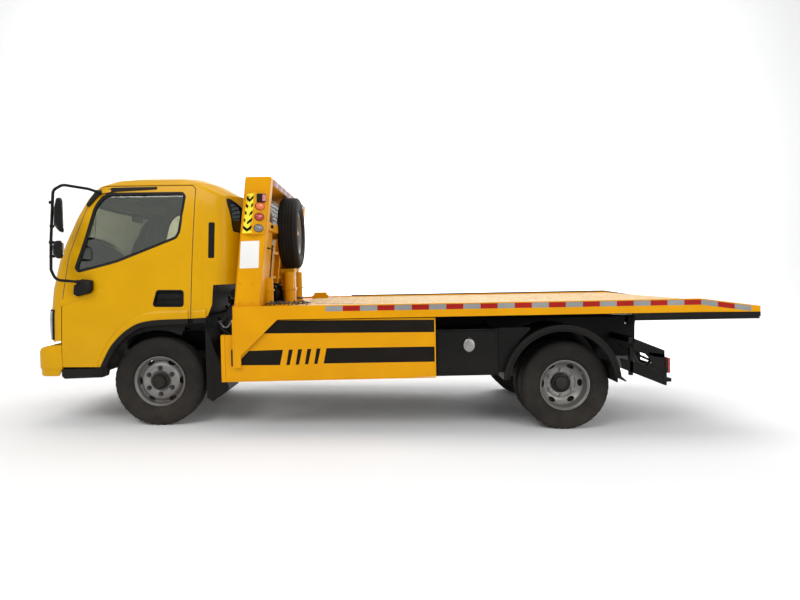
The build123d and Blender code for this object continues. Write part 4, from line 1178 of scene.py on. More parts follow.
def dress_cab_skin():
    """Seals round the fixed glass, the vent, lips and seams of the cab shell."""
    seal = Shape()
    screen = [(-780, 1290), (780, 1290), (730, 1925), (-730, 1925)]
    dense = []
    for a, b in zip(screen, screen[1:] + screen[:1]):
        dense += [(a[0] + (b[0] - a[0]) * k / 14, a[1] + (b[1] - a[1]) * k / 14)
                  for k in range(14)]
    outer = outline_t(inset(dense, -8), "front")
    inner = outline_t(inset(dense, 26), "front")
    strip(seal, outer, inner, 2.5, -22)
    # the corner windows and the back window
    rear = outline_of_rear(inset(QUARTER, -3), 16)
    rear_in = outline_of_rear(inset(QUARTER, 9), 26)
    strip(seal, rear, rear_in, 3, -22)
    seal.both_sides()
    back = [(-520, 1420), (520, 1420), (500, 1840), (-500, 1840)]
    ring = []
    for a, b in zip(rounded(inset(back, -8), 40), rounded(inset(back, 22), 60)):
        ring.append([(736, a[0], a[1]), (736, b[0], b[1]), (708, b[0], b[1]), (708, a[0], a[1])])
    seal.rings(ring, closed=True)
    seal.to_object("fixed_glass_seals", "cab", "rubber seal")
    vent = Shape()
    outline = rounded([(484, 1716), (524, 1716), (516, 1425), (476, 1425)], 7)
    outer, inner = outline_t(inset(outline, -4)), outline_t(inset(outline, 5))
    strip(vent, outer, inner, 5, -1)
    skin_plate(vent, lambda z: (side_t(478 + (z - 1425) * 0.0275, z),
                                side_t(522 + (z - 1425) * 0.0275, z)), (1428, 1713), 2.5, 4, 3, 14)
    for k in range(17):
        z = 1438 + k * 16
        x = 476 + (z - 1425) * 0.0275
        vent.rings([[side_point(x + a, z + b, h) for b, h in ((0, 0.5), (8, 4.5), (10, 0.5))]
                    for a in (4, 36)])
    vent.both_sides().to_object("air_vents", "cab", "black plastic")
    lip = arch_strip(Shape(), *ARCH_LIP, 316, 446)
    # the raised press lines behind the door and down the rear corner
    for x0 in (408, 548):
        rings = []
        z0 = 1010 if x0 < 500 else 1215
        for k in range(19):
            z = z0 + k * (1910 - z0) / 18
            t = side_t(x0, z)
            fade = min(1.0, k / 3, (18 - k) / 3)
            rings.append([cab_point(t - 13, z, 0.2), cab_point(t, z, 0.3 + 3.5 * fade),
                          cab_point(t + 13, z, 0.2), cab_point(t + 13, z, -2),
                          cab_point(t - 13, z, -2)])
        lip.rings(rings)
    lip.both_sides().to_object("cab_press_lines", "cab", "yellow paint", sharp=60)
    edging = arch_strip(Shape(), *ARCH_EDGING, 316, 446)
    edging.both_sides().to_object("rear_arch_edging", "cab", "black plastic", sharp=40)
    section = (2041, 0), (2046, 7), (2053, 7), (2056, -4), (2041, -4)
    rings = [[cab_point(600 + k * 62, z, out) for z, out in section] for k in range(31)]
    Shape().rings(rings).both_sides().to_object("roof_gutter", "cab", "yellow paint", sharp=50)


def outline_of_rear(points, radius):
    """Skin distances of a line seen from the front, on the rear corner."""
    made = []
    for y, z in rounded(points, radius):
        _, _, _, tail, half = cab_plan(z)
        c = max(-1.0, min(1.0, (abs(y) - half + BACK_R) / BACK_R))
        made.append((side_t(tail, z) + BACK_R * (pi / 2 - asin(c)), z))
    return made


def bumper_plan(amount, back):
    """The bumper's line seen from above: side, corner and bow, for one height."""
    low = BUMPER_HALF - BUMPER_BEND
    corner_x = BUMPER_X + low * low / (2 * BUMPER_BOW) + BUMPER_BEND
    bend = BUMPER_BEND - amount
    half = [(back, -BUMPER_HALF + amount)]
    half += [(corner_x - bend * sin(pi / 2 * k / 10), -low - bend * cos(pi / 2 * k / 10))
             for k in range(11)]
    half += [(BUMPER_X + amount + y * y / (2 * BUMPER_BOW), y)
             for y in [-low + low * k / 10 for k in range(1, 11)]]
    return half + [(x, -y) for x, y in reversed(half[:-1])]


def dress_bumper():
    """The bumper's crowned skin with its crease, on a cross bar and two brackets."""
    skin = Shape()
    rings = []
    for z, amount in BUMPER_LEVELS:
        back = -768 - max(0, 521 - z) * 0.54
        line = bumper_plan(amount, back) + bumper_plan(30, back)[::-1]
        share = max(0, z - 522) / 195
        rings.append([(x, y, z - 26 * share * min(1, max(0, (-850 - x) / 90))) for x, y in line])
    skin.rings(rings)
    skin.block((-1004, -968), (-490, 490), (600, 665))
    for y in (-430, 430):
        skin.block((-1000, -790), (y - 25, y + 25), (600, 665))
    skin.to_object("bumper_skin", "chassis", "yellow paint", sharp=40, replaces=["front_bumper"])


def dress_arch_liners():
    """Black liners over the front wheels, with the sill that ends at each arch."""
    for side in ("left", "right"):
        liner = Shape()
        rings = []
        for k in range(25):
            a = radians(66 + 102 * k / 24)
            rings.append([(FRONT_X + r * cos(a), y, FRONT_Z + r * sin(a)) for r, y in (
                (466, -872), (466, -575), (460, -575), (460, -872))])
        liner.rings(rings)
        rings = []
        for x, z in arch_run(16, -462, 306):
            reach = 442 / sqrt((x - FRONT_X) ** 2 + (z - FRONT_Z) ** 2)
            q = (FRONT_X + (x - FRONT_X) * reach, FRONT_Z + (z - FRONT_Z) * reach)
            rings.append([(x, -876, z), (q[0], -876, q[1]), (q[0], -868, q[1]), (x, -868, z)])
        liner.rings(rings)
        liner.prism([(-505, 441), (-405, 452), (-390, 520), (-404, 596), (-428, 606),
                     (-464, 522), (-505, 515)], "y", -920, -868)
        liner.block((-792, -440), (-884, -872), (445, 600))
        put(liner, "arch_liner", "chassis", "black plastic", side, sharp=40)


def dress_front():
    """Grille, lamps, wipers, garnish and the bumper's fittings."""
    panel = Shape()
    skin_plate(panel, (-690, 690), (760, 1012), 9, 12, 40, 6)
    panel.to_object("front_garnish", "cab", "black plastic", bevel=2, replaces=["grille"])
    slats = Shape()
    for k in range(5):
        z = 800 + k * 40
        skin_plate(slats, (-560, 560), (z, z + 20), 22, 16, 36, 2, dome=5)
    for t in (-575, 560):
        skin_plate(slats, (t, t + 15), (785, 992), 22, 16, 2, 10)
    slats.to_object("grille_slats", "cab", "yellow paint", bevel=2)
    mesh = Shape()
    for k in range(28):
        t = -546 + k * 40
        skin_plate(mesh, (t, t + 6), (790, 988), 14, 6, 1, 8)
    mesh.to_object("grille_mesh", "cab", "black paint", slot="trim_black")
    # the raised panel under the windscreen
    cowl = Shape()
    skin_plate(cowl, (-700, 700), (1196, 1268), 10, 12, 44, 4, dome=4)
    cowl.to_object("cowl_grille", "cab", "black plastic", bevel=3)
    wiper = Shape()
    for y in (-520, 60):
        px, py, pz = cab_point(front_t(y, 1262), 1262, 8)
        wiper.bar((px, py, pz), cab_point(front_t(y, 1262), 1262, 30), 16)
        tip = [cab_point(front_t(y + k * 62, 1262 + k * 15), 1262 + k * 15, 30) for k in range(6)]
        wiper.tube(tip, lambda t: 8 - 3 * t, 8)
        blade = [cab_point(front_t(y + 60 + k * 50, 1278 + k * 14), 1278 + k * 14, 16)
                 for k in range(12)]
        wiper.tube(blade, 5.5, 6)
    wiper.to_object("wipers", "cab", "black plastic", sharp=50)
    # headlamps wrap round both corners
    low, high = 724, 1002

    def span(z, a, b):
        end = side_t(-842 - (1002 - z) * 0.06, z)
        return end - a, end - b
    chamber = Shape()
    skin_plate(chamber, lambda z: span(z, 292, 8), (770, high - 10), 3, 4, 26, 8)
    chamber.both_sides().to_object("lamp_chambers", "cab", "mirror silver")
    rim = Shape()
    a, b = [], []
    for grow, line in ((8, a), (-9, b)):
        for k in range(25):
            z = 762 - grow + (high - 762 + 2 * grow) * k / 24
            line.append((span(z, 300 + grow, 0)[0], z))
        for k in range(1, 25):
            f = k / 24
            z = high + grow
            lo_t, hi_t = span(z, 300 + grow, -grow)
            line.append((lo_t + (hi_t - lo_t) * f, z))
        for k in range(1, 25):
            z = high + grow - (high - 762 + 2 * grow) * k / 24
            line.append((span(z, 0, -grow)[1], z))
        for k in range(1, 24):
            z = 762 - grow
            lo_t, hi_t = span(z, 300 + grow, -grow)
            line.append((hi_t + (lo_t - hi_t) * k / 24, z))
    strip(rim, a, b, 12, -1)
    rim.both_sides().to_object("lamp_bezels", "cab", "black plastic", bevel=1)
    bowls = Shape()
    for t_at, z_at, r in ((150, 880, 74), (62, 935, 40), (62, 830, 40)):
        t = side_t(-880, z_at) - t_at
        c, d = Vector(cab_point(t, z_at, 4)), Vector(cab_point(t, z_at, 12))
        n = (d - c).normalized()
        bowls.tube([c + n * h for h in (-4, 1, 3)], r, 32)
        bowls.tube([c + n * h for h in (0, 5)], r * 0.45, 24)
    bowls.both_sides().to_object("lamp_bowls", "cab", "nut steel", slot="lamp_clear")
    lens = Shape()
    skin_plate(lens, lambda z: span(z, 294, 6), (766, high - 4), 12, 3, 30, 8, dome=5)
    lens.both_sides().to_object("lamp_lenses", "cab", "lamp clear", replaces=["headlamps"])
    side_lens = Shape()
    skin_plate(side_lens, lambda z: span(z, 292, 150), (low, 760), 8, 10, 12, 3, dome=4)
    side_lens.both_sides().to_object("turn_lenses", "cab", "lamp amber")
    # the bumper's intake, blank plate and fog lamps
    bumper = Shape()
    bumper.prism(rounded([(-430, 505), (430, 505), (400, 600), (-400, 600)], 20), "x", -1031,
                 -1012)
    bumper.to_object("bumper_intake", "chassis", "black plastic", bevel=2)
    bars = Shape()
    for z in (524, 548, 572):
        bars.block((-1035, -1026), (-405, 405), (z, z + 9), soft=3)
    bars.to_object("intake_bars", "chassis", "black paint", bevel=1, slot="trim_black")
    plate = Shape().prism(corners(-230, 230, 620, 700, 10), "x", -1034, -1026)
    plate.to_object("front_plate_blank", "chassis", "white film", bevel=1)
    fog = Shape()
    fog.prism(corners(-742, -560, 520, 618, 26), "x", -1012, -996)
    fog.both_sides().to_object("fog_bezels", "chassis", "black plastic", bevel=3)
    lamp = Shape()
    lamp.lathe([(-8, 1), (-8, 20), (-4, 34), (6, 40), (10, 40), (10, 1)], (-1014, -650, 569),
               "x", 32)
    lamp.both_sides().to_object("fog_lenses", "chassis", "lamp clear")


def dress_cabin():
    """Seats, steering wheel, dashboard fittings and the inner mirror."""
    for side, s in SIDES:
        seat = Shape()
        for x, z, tilt in (((-160, 320), (962, 1140), 0), ((232, 340), (1130, 1560), 1)):
            outline = rounded([(x[0], z[0]), (x[1], z[0]), (x[1] + tilt * 66, z[1]),
                               (x[0] + tilt * 78, z[1])], 40)
            pod(seat, outline, s * SEAT_Y - 230, s * SEAT_Y + 230, 0.14)
        head = rounded([(318, 1590), (400, 1590), (408, 1752), (332, 1752)], 30)
        pod(seat, head, s * SEAT_Y - 130, s * SEAT_Y + 130, 0.25)
        for y in (-60, 60):
            seat.bar((360, s * SEAT_Y + y, 1545), (364, s * SEAT_Y + y, 1600), 6, 8)
        piece = seat.to_object(f"seat_{side}", "cab", "seat cloth", sharp=60, replaces=["seats"])
        seam = Shape()
        for y in (-150, 150):
            seam.tube([(-150, s * SEAT_Y + y, 1141), (60, s * SEAT_Y + y, 1143),
                       (225, s * SEAT_Y + y, 1141)], 4, 6)
            seam.tube([(236, s * SEAT_Y + y, 1160), (268, s * SEAT_Y + y, 1350),
                       (304, s * SEAT_Y + y, 1548)], 4, 6)
        seam.to_object(f"seat_seams_{side}", "cab", "rubber seal", sharp=60, slot="seat_cloth")
    wheel = Shape()
    spin = Matrix.Translation((-330, STEER_Y, 1330)) @ Matrix.Rotation(radians(-52), 4, "Y")
    wheel.tube([(*p, 0) for p in oval(200, 200, 56)], 14, 14, closed=True)
    for a in (0, 120, 240):
        c, q = cos(radians(a)), sin(radians(a))
        wheel.tube([(30 * c, 30 * q, -18), (120 * c, 120 * q, -14), (196 * c, 196 * q, 0)], 11, 10)
    wheel.lathe([(-40, 1), (-40, 30), (-24, 56), (4, 56), (12, 46), (14, 1)], (0, 0, 0), "z", 32)
    wheel.turned(spin)
    wheel.bar((-480, STEER_Y, 1213), (-350, STEER_Y, 1316), 24)
    for s in (-1, 1):
        wheel.tube([(-372, STEER_Y + s * 20, 1296), (-350, STEER_Y + s * 190, 1330)], 7, 8)
    wheel.to_object("steering_wheel_trim", "cab", "black plastic", sharp=50,
                    replaces=["steering_wheel"])
    dash = Shape()
    pod(dash, rounded([(-640, 1270), (-500, 1210), (-480, 1262), (-560, 1322), (-650, 1318)], 18),
        -600, -250, 0.2)
    pod(dash, rounded([(-560, 1090), (-476, 1130), (-500, 1236), (-560, 1240)], 12), -180, 180,
        0.1)
    for y in (-700, 640):
        dash.lathe([(-6, 1), (-6, 44), (4, 48), (6, 40), (6, 1)], (-545, y, 1262), "x", 28)
    dash.tube([(-300, -40, 1000), (-330, -40, 1130), (-350, -40, 1240)], 11, 12)
    dash.lathe([(0, 1), (-6, 22), (16, 28), (40, 26), (52, 14), (54, 1)], (-352, -40, 1236),
               "z", 24)
    dash.to_object("dashboard_fittings", "cab", "black plastic", bevel=2)
    inner = Shape()
    pod(inner, rounded([(-474, 1800), (-446, 1806), (-452, 1874), (-480, 1868)], 10), -110, 130,
        0.2)
    inner.tube([(-470, 10, 1840), (-500, 10, 1905), (-560, 10, 1934)], 7, 10)
    inner.to_object("inner_mirror", "cab", "black plastic")
    trim = Shape()
    for side, s in SIDES:
        for x0, x1, z0, z1 in ((-560, 250, 1080, 1230), (-500, 200, 900, 1000)):
            pad = rounded([(x0, z0), (x1, z0), (x1 - 20, z1), (x0 + 60, z1)], 30)
            piece = Shape()
            pod(piece, pad, s * 900 - 14 * s, s * 852, 0.08)
            piece.to_object(f"door_pad_{side}_{z0}", f"door_{side}", "cabin trim", bevel=3)
    for y in (-430, 430):
        trim.prism(corners(-520, -330, y - 190, y + 190, 30), "z", 1990, 2002)
    trim.to_object("sun_visors", "cab", "cabin trim", bevel=3)


def dress_belts():
    """Belts on the pillars behind the doors."""
    belt = Shape()
    for s in (-1, 1):
        path = [(330, s * 850, 1650), (320, s * 852, 1400), (318, s * 850, 1120)]
        belt.rings([[(p[0] + a, p[1] + b, p[2]) for a,
                     b in ((-23, -1.5), (23, -1.5), (23, 1.5), (-23, 1.5))] for p in path])
        belt.block((300, 352), (s * 835, s * 860), (1630, 1690), soft=8)
    belt.to_object("seat_belts", "cab", "webbing")


# ---- side guards, boxes and deck ---------------------------------------------------------
def flat(shape, outline, y, thick=0.8, material=0):
    """A thin film on a side face that looks outwards to the left."""
    return shape.prism(outline, "y", y - thick, y + 0.2, material)


def dress_side_guards():
    """Bands and bars on both side guards, their slit, rivets and edge strips."""
    for side in ("left", "right"):
        y = -GUARD_Y
        bands = Shape()
        flat(bands, [(948, 796), (1052, 899), (2352, 882), (2352, 781)], y)
        flat(bands, [(833, 656), (770, 592), (769, 540), (1082, 535), (1109, 660)], y)
        flat(bands, [(1436, 541), (2352, 538), (2352, 662), (1462, 666)], y)
        for k in range(4):
            x, z = 1133 + k * 75.3, 534 + k * 1.7
            flat(bands, [(x, z), (x + 27, z), (x + 56, z + 126), (x + 23, z + 126)], y)
        put(bands, "guard_bands", "chassis", "black vinyl", side)
        slit = Shape()
        flat(slit, [(688, 532), (706, 532), (706, 668), (688, 668)], y, 1.2)
        for x in (1500, 2300):
            for z in (600, 850):
                slit.disc((x, 0, z), "y", y - 2, y, 6, steps=12)
        put(slit, "guard_marks", "chassis", "black plastic", side)
        folds = Shape()
        folds.block((610, 2353), (y - 4, y + 6), (405, 413), soft=2)
        folds.block((608, 640), (y - 6, y), (405, 786), soft=3)
        folds.block((2345, 2355), (y - 3, y + 6), (416, 898), soft=2)
        for x in (700, 2290):
            folds.disc((x, 0, 440), "y", y - 5, y, 9, steps=6)
        put(folds, "guard_folds", "chassis", "yellow deck paint", side, bevel=1)
        # the box behind the guard: lid, hinges, latch and filler
        box = Shape()
        box.prism(corners(2372, 2866, 426, 778, 12), "y", -1087, -1079)
        for x in (2420, 2790):
            box.bar((x, -1088, 786), (x + 60, -1088, 786), 8, 12)
        box.prism(corners(2460, 2500, 440, 474, 6), "y", -1094, -1086)
        box.block((2356, 2880), (-1086, -1060), (786, 796), soft=3)
        put(box, "box_lid", "chassis", "black paint", side, bevel=2)
        cap = Shape()
        cap.lathe([(a, r) for a, r in ((-22, 1), (-22, 40), (-18, 50), (-14, 54), (-10, 54),
                                       (-8, 63), (2, 66), (2, 1))], (0, -1078, 0), "y", 48)
        cap.block((-26, 26), (-1108, -1098), (-8, 8), soft=4)
        cap.turned(Matrix.Translation((2634, 0, 664)) @ Matrix.Diagonal((0.93, 1, 1.08, 1)))
        put(cap, "filler_cap", "chassis", "bare steel", side, sharp=40, slot="wheel_silver")
        # black panels between the box and the fender, and black sheets along the frame rail: painted
        # shade that fills the dark space under the deck
        panel = Shape()
        panel.prism([(2884, 430), (2960, 430), (2990, 560), (3060, 690), (3150, 780),
                     (3150, 800), (2884, 800)], "y", -1060, -1052)
        panel.block((2884, 4255), (-500, -492), (470, 762))
        panel.block((2884, 4160), (-500, -492), (760, 835))
        put(panel, "rear_side_panels", "chassis", "black paint", side, bevel=1)


def deck_top(x):
    """The height of the rail's top edge."""
    return RAIL_Z1 - max(0.0, x - TAIL_X) / (DECK_X1 - TAIL_X) * TAIL_DROP


def dress_deck():
    """Floor pattern, rail tape, lashing slots and loose gear on the deck."""
    floor = Shape()
    inner = DECK_Y - 62
    floor.rings([[(x, y, z) for x, z in ((1184, FLOOR_Z), (TAIL_X, FLOOR_Z),
                                         (DECK_X1 - 4, FLOOR_Z - TAIL_DROP),
                                         (DECK_X1 - 4, FLOOR_Z - TAIL_DROP + 1.6),
                                         (TAIL_X, FLOOR_Z + 1.6), (1184, FLOOR_Z + 1.6))]
                 for y in (-inner, inner)])
    piece = floor.to_object("deck_tread_sheet", "deck", "deck floor")
    holes = Shape()
    for x, y in LASHINGS:
        holes.disc((x, y, 0), "z", FLOOR_Z - 30, FLOOR_Z + 30, 21)
    carve(piece, holes)
    beads = Shape()
    spacing = settings().bead_spacing / MM
    for k in range(int(3241 / spacing)):
        x = 1320 + k * spacing
        for y0, y1 in ((-960, -520), (-440, -60), (60, 440), (520, 960)):
            z = FLOOR_Z + 1 - max(0, x - TAIL_X) / (DECK_X1 - TAIL_X) * TAIL_DROP
            beads.rings([[(x - 9, y, z), (x - 4, y, z + 3.5), (x + 4, y, z + 3.5), (x + 9, y, z)]
                         for y in (y0, y1)])
    for y in (-1040, 1040):
        beads.block((1240, 4520), (y - 10, y + 10), (FLOOR_Z, FLOOR_Z + 6), soft=2)
    beads.to_object("deck_floor_beads", "deck", "yellow deck paint", bevel=1)
    block, low = settings().tape_block / MM, 8 + settings().tape_width / MM
    for side in ("left", "right"):
        tape = Shape()
        x, k = 1463.0, 0
        while x < 4960:
            end = min(x + block - 1, 4962)
            cuts = [x] + ([TAIL_X] if x < TAIL_X < end else []) + [end]
            for a, b in zip(cuts, cuts[1:]):
                flat(tape, [(a, deck_top(a) - low), (b, deck_top(b) - low),
                            (b, deck_top(b) - 8), (a, deck_top(a) - 8)], -DECK_Y, 0.9, k % 2)
            x, k = x + block, k + 1
        put(tape, "rail_tape", "deck", ("tape white", "tape red"), side)
        under = Shape()
        under.block((3983, 5037), (-1146, -1100), (846, 858), soft=3)
        under.prism([(3983, 904), (4002, 858), (5037, 858), (5037, 902)], "y", -1142, -1134)
        under.prism([(4990, 935), (5039, 925), (5046, 900), (5046, 862), (4990, 862)], "y",
                    -1143, -1060)
        put(under, "tail_sub_rail", "deck", "black paint", side, bevel=2)
        seam = Shape()
        seam.bar((DECK_X0, -DECK_Y + 1, 1016), (TAIL_X, -DECK_Y + 1, 1016), 3, 8)
        seam.bar((TAIL_X, -DECK_Y + 1, 1016), (5036, -DECK_Y + 1, 947), 3, 8)
        seam.block((716, 724), (-DECK_Y - 2, -DECK_Y + 10), (524, 1016), soft=2)
        put(seam, "rail_edges", "deck", "yellow deck paint", side, bevel=1)
    bead = Shape()
    bead.rings([[(x, 1096, z - 4), (x, 1146, z - 4), (x, 1146, z + w), (x, 1096, z + w)]
                for x, z, w in ((1560, 1018, 10), (TAIL_X, 1018, 12), (4990, 955, 2))])
    bead.to_object("far_rail_strip", "deck", "rubber seal", bevel=2)
    rings = Shape()
    for x, y in LASHINGS:
        rings.lathe([(0, 22), (0, 40), (4, 38), (5, 24)], (x, y, FLOOR_Z + 1), "z", 32)
    rings.to_object("lashing_rims", "deck", "bare steel")
    # a chain that lies behind the headboard
    chain = Shape()
    for k in range(26):
        x = 960 + k * 13.5
        y = -905 + 34 * sin(k * 1.3)
        z = FLOOR_Z + 12 + 16 * abs(sin(k * 0.9))
        a = k * 1.1
        link = [(x + u * cos(a), y + u * sin(a) * 0.6 + v * (k % 2), z + v * (1 - k % 2) + 4)
                for u, v in oval(21, 12, 14)]
        chain.tube(link, 4.6, 6, closed=True)
    chain.to_object("safety_chain", "deck", "cast iron", sharp=60)
    band, steps, length = Shape(), 28, 560
    line = [(1240 + length * i / steps, -600 + 34 * sin(i * 0.21),
             FLOOR_Z + 2.2 + 3 * sin(pi * i / steps) ** 2) for i in range(steps + 1)]
    band.rings([[(x, y - 25, z), (x, y + 25, z), (x, y + 25, z + 2), (x, y - 25, z + 2)]
                for x, y, z in line])
    webbing = band.to_object("lashing_webbing", "deck", "webbing", sharp=60, slot="seat_cloth")
    rest = Shape()
    rest.block((1130, 1310), (840, 960), (FLOOR_Z - 1, 1040), soft=8)
    rest.block((1150, 1290), (850, 950), (1036, 1070), soft=10)
    rest.to_object("wheel_stop", "deck", "yellow deck paint", bevel=4)


HOUSING = {  # the lamp housing's upright edges, from bottom to top
    "front": ((796, -1111, 1600), (850, -1111, 1935)),
    "ridge": ((893, -1165, 1600), (918, -1165, 1935)),
    "rear": ((986, -1111, 1600), (1024, -1111, 1935))}


def housing_point(face, u, v, out):
    """A point on the housing's front or rear face; u runs from the ridge, v upwards."""
    ends = [[Vector(p) for p in HOUSING[name]] for name in ("ridge", face)]
    near, far = (a.lerp(b, v) for a, b in ends)
    along, up = far - near, ends[0][1] - ends[0][0]
    normal = along.cross(up).normalized()
    if normal.y > 0:
        normal.negate()
    return near.lerp(far, u) + normal * out


def housing_shape(face, centre, outline, levels):
    """Extrudes an outline in mm about a place (u, v) on the housing; levels are (out, size)."""
    at = housing_point(face, *centre, 0)
    along = (housing_point(face, 1, centre[1], 0) - at).normalized()
    normal = (housing_point(face, *centre, 1) - at).normalized()
    up = normal.cross(along)
    if up.z < 0:
        up.negate()
    rings = [[tuple(at + along * a * size + up * b * size + normal * out) for a, b in outline]
             for out, size in levels]
    return Shape().rings(rings)


def dress_headboard():
    """Posts, beam and panel, with lamps, chevrons, stickers, bolts, tape and mesh."""
    lean = 0.117
    body = Shape()
    body.prism([(736, FLOOR_Z + 1), (755, FLOOR_Z + 1), (843, 1765), (824, 1765)], "y", -1000,
               1000)
    body.prism(rounded([(836, 1990), (1030, 2012), (1046, 2065), (843, 2065)], 10), "y", -1000,
               1000)
    body.to_object("headboard_panel", "deck", "yellow deck paint", bevel=3, replaces=["headboard"])
    for side in ("left", "right"):
        post = Shape()
        outline = rounded([(722, 1018), (923, 1018), (1046, 2065), (843, 2065)], 12)
        post.prism(outline, "y", -POST_Y, -1000)
        put(post, "headboard_post", "deck", "yellow deck paint", side, bevel=7)
        wedge = Shape()
        rings = []
        for k in range(9):
            v = k / 8
            front = [housing_point("front", 1 - j / 4, v, 0) for j in range(5)]
            rear = [housing_point("rear", j / 4, v, 0) for j in range(1, 5)]
            ring = [tuple(p) for p in front + rear]
            rings.append(ring + [(ring[-1][0], -1095, ring[-1][2]),
                                 (ring[0][0], -1095, ring[0][2])])
        wedge.rings(rings)
        put(wedge, "marker_housing", "deck", "yellow deck paint", side, bevel=3)
        for name, look, v in (("amber", "lamp amber", 0.665), ("red", "lamp red", 0.41),
                              ("clear", "lamp clear", 0.14)):
            lamp = housing_shape("rear", (0.46, v), oval(38, 30), (
                (-2, 1.0), (8, 1.0), (15, 0.93), (20, 0.76), (23, 0.42)))
            put(lamp, f"head_lamp_{name}", "deck", look, side, sharp=50, slot="lamp_red")
            base = housing_shape("rear", (0.46, v), oval(41, 33), ((-3, 1), (4, 1)))
            put(base, f"head_lamp_base_{name}", "deck", "black plastic", side, bevel=2)
        box = housing_shape("rear", (0.5, 0.86), square(36, 34, 8), ((-2, 1), (15, 1)))
        put(box, "head_lamp_box", "deck", "black plastic", side, bevel=3)
        half = housing_shape("rear", (0.66, 0.86), square(16, 28, 6), ((12, 1), (21, 1)))
        put(half, "head_lamp_square", "deck", "lamp red", side, bevel=3)
        # chevrons on the front half of the housing
        field, vees = Shape(), Shape()
        edges = [(0.06, 0.03), (0.94, 0.03), (0.94, 0.97), (0.06, 0.97)]
        field.rings([[tuple(housing_point("front", u, v, h)) for u, v in edges]
                     for h in (-0.5, 0.6)])
        put(field, "chevron_field", "deck", "chevron yellow", side)
        for k in range(5):
            v = 0.06 + k * 0.176
            marks = [(0.07, v + 0.08), (0.5, v), (0.93, v + 0.08), (0.93, v + 0.155),
                     (0.5, v + 0.075), (0.07, v + 0.155)]
            vees.rings([[tuple(housing_point("front", a, b, h)) for a, b in marks]
                        for h in (0.3, 1.4)])
        put(vees, "chevrons", "deck", "black vinyl", side)
        film = Shape()
        flat(film, rounded([(789, 1545), (938, 1549), (926, 1329), (773, 1326)], 8), -POST_Y, 0.9)
        put(film, "post_sticker", "deck", "white film", side)
        bolts = Shape()
        for x, z in ((770, 1204), (877, 1203), (763, 1048), (873, 1046)):
            bolts.disc((x, 0, z), "y", -1116, -1109, 7.5, steps=6)
            bolts.disc((x, 0, z), "y", -1111.5, -1109, 11, steps=16)
        put(bolts, "post_bolts", "deck", "yellow deck paint", side, bevel=1)
        seam = Shape()
        seam.bar((724, -POST_Y, 1022), (842, -POST_Y, 2060), 3.5, 8)
        seam.bar((921, -POST_Y, 1022), (1044, -POST_Y, 2060), 3.5, 8)
        seam.block((712, 930), (-1120, -1098), (1012, 1026), soft=4)
        put(seam, "post_edges", "deck", "yellow deck paint", side, bevel=1)
        # tubes with collars that stand behind the panel
        tube = Shape()
        for x, y, top in ((940, -800, 1247), (1046, -300, 1300)):
            tube.lathe([(0, 30), (0, 46), (top - FLOOR_Z, 46), (top - FLOOR_Z, 38),
                        (30, 38), (30, 30)], (x, y, FLOOR_Z), "z", 32)
            tube.lathe([(0, 45), (0, 56), (14, 56), (14, 45)], (x, y, 1134), "z", 32)
            tube.lathe([(0, 45), (0, 60), (8, 60), (8, 45)], (x, y, FLOOR_Z), "z", 32)
        put(tube, "stake_tubes", "deck", "yellow deck paint", side, bevel=2)
    # the panel's ribs, its latch plates and the mesh window
    ribs = Shape()
    for y in (-960, -420, 0, 420, 960):
        ribs.prism([(755, 1010), (800, 1010), (876, 1700), (843, 1760)], "y", y - 22, y + 22)
    for z in (1250, 1500, 1745):
        x = 755 + (z - 1006) * lean
        ribs.block((x - 2, x + 26), (-1000, 1000), (z - 16, z + 16), soft=3)
    ribs.to_object("headboard_ribs", "deck", "yellow deck paint", bevel=4)
    box = Shape()
    for s in (-1, 1):
        low, high = sorted((s * 990, s * 720))
        box.prism([(836, 1012), (915, 1012), (985, 1700), (902, 1700)], "y", low, high)
        low, high = sorted((s * 996, s * 560))
        box.block((925, 1000), (low, high), (1640, 1712), soft=6)
    box.to_object("headboard_lockers", "deck", "yellow deck paint", bevel=5)
    knob = Shape()
    for y in (-905, 905):
        knob.lathe([(0, 1), (0, 14), (12, 16), (20, 10), (20, 1)], (1000, y, 1676), "x", 20)
        knob.block((945, 990), (y - 40, y + 40), (1490, 1500), soft=3)
    knob.to_object("locker_latches", "deck", "black plastic", bevel=1)
    wires = Shape()
    for k in range(40):
        y = -994 + k * 51
        wires.bar((833, y, 1768), (863, y, 1988), 4.2, 6)
    for k in range(6):
        z = 1780 + k * 40
        x = 833 + (z - 1766) * 0.1345
        wires.bar((x, -996, z), (x, 996, z), 4.2, 6)
    wires.to_object("headboard_wires", "deck", "black paint", replaces=["headboard_mesh"])
    tape = Shape()
    for k in range(16):
        y = -980 + k * 122.5
        tape.rings([[(x, y + a, z) for x, z in ((1033.4, 2014), (1046.0, 2058), (1047.4, 2057.6),
                                                (1034.8, 2013.6))] for a in (4, 118)], k % 2)
    tape.to_object("headboard_tape", "deck", ("tape red", "tape white"))


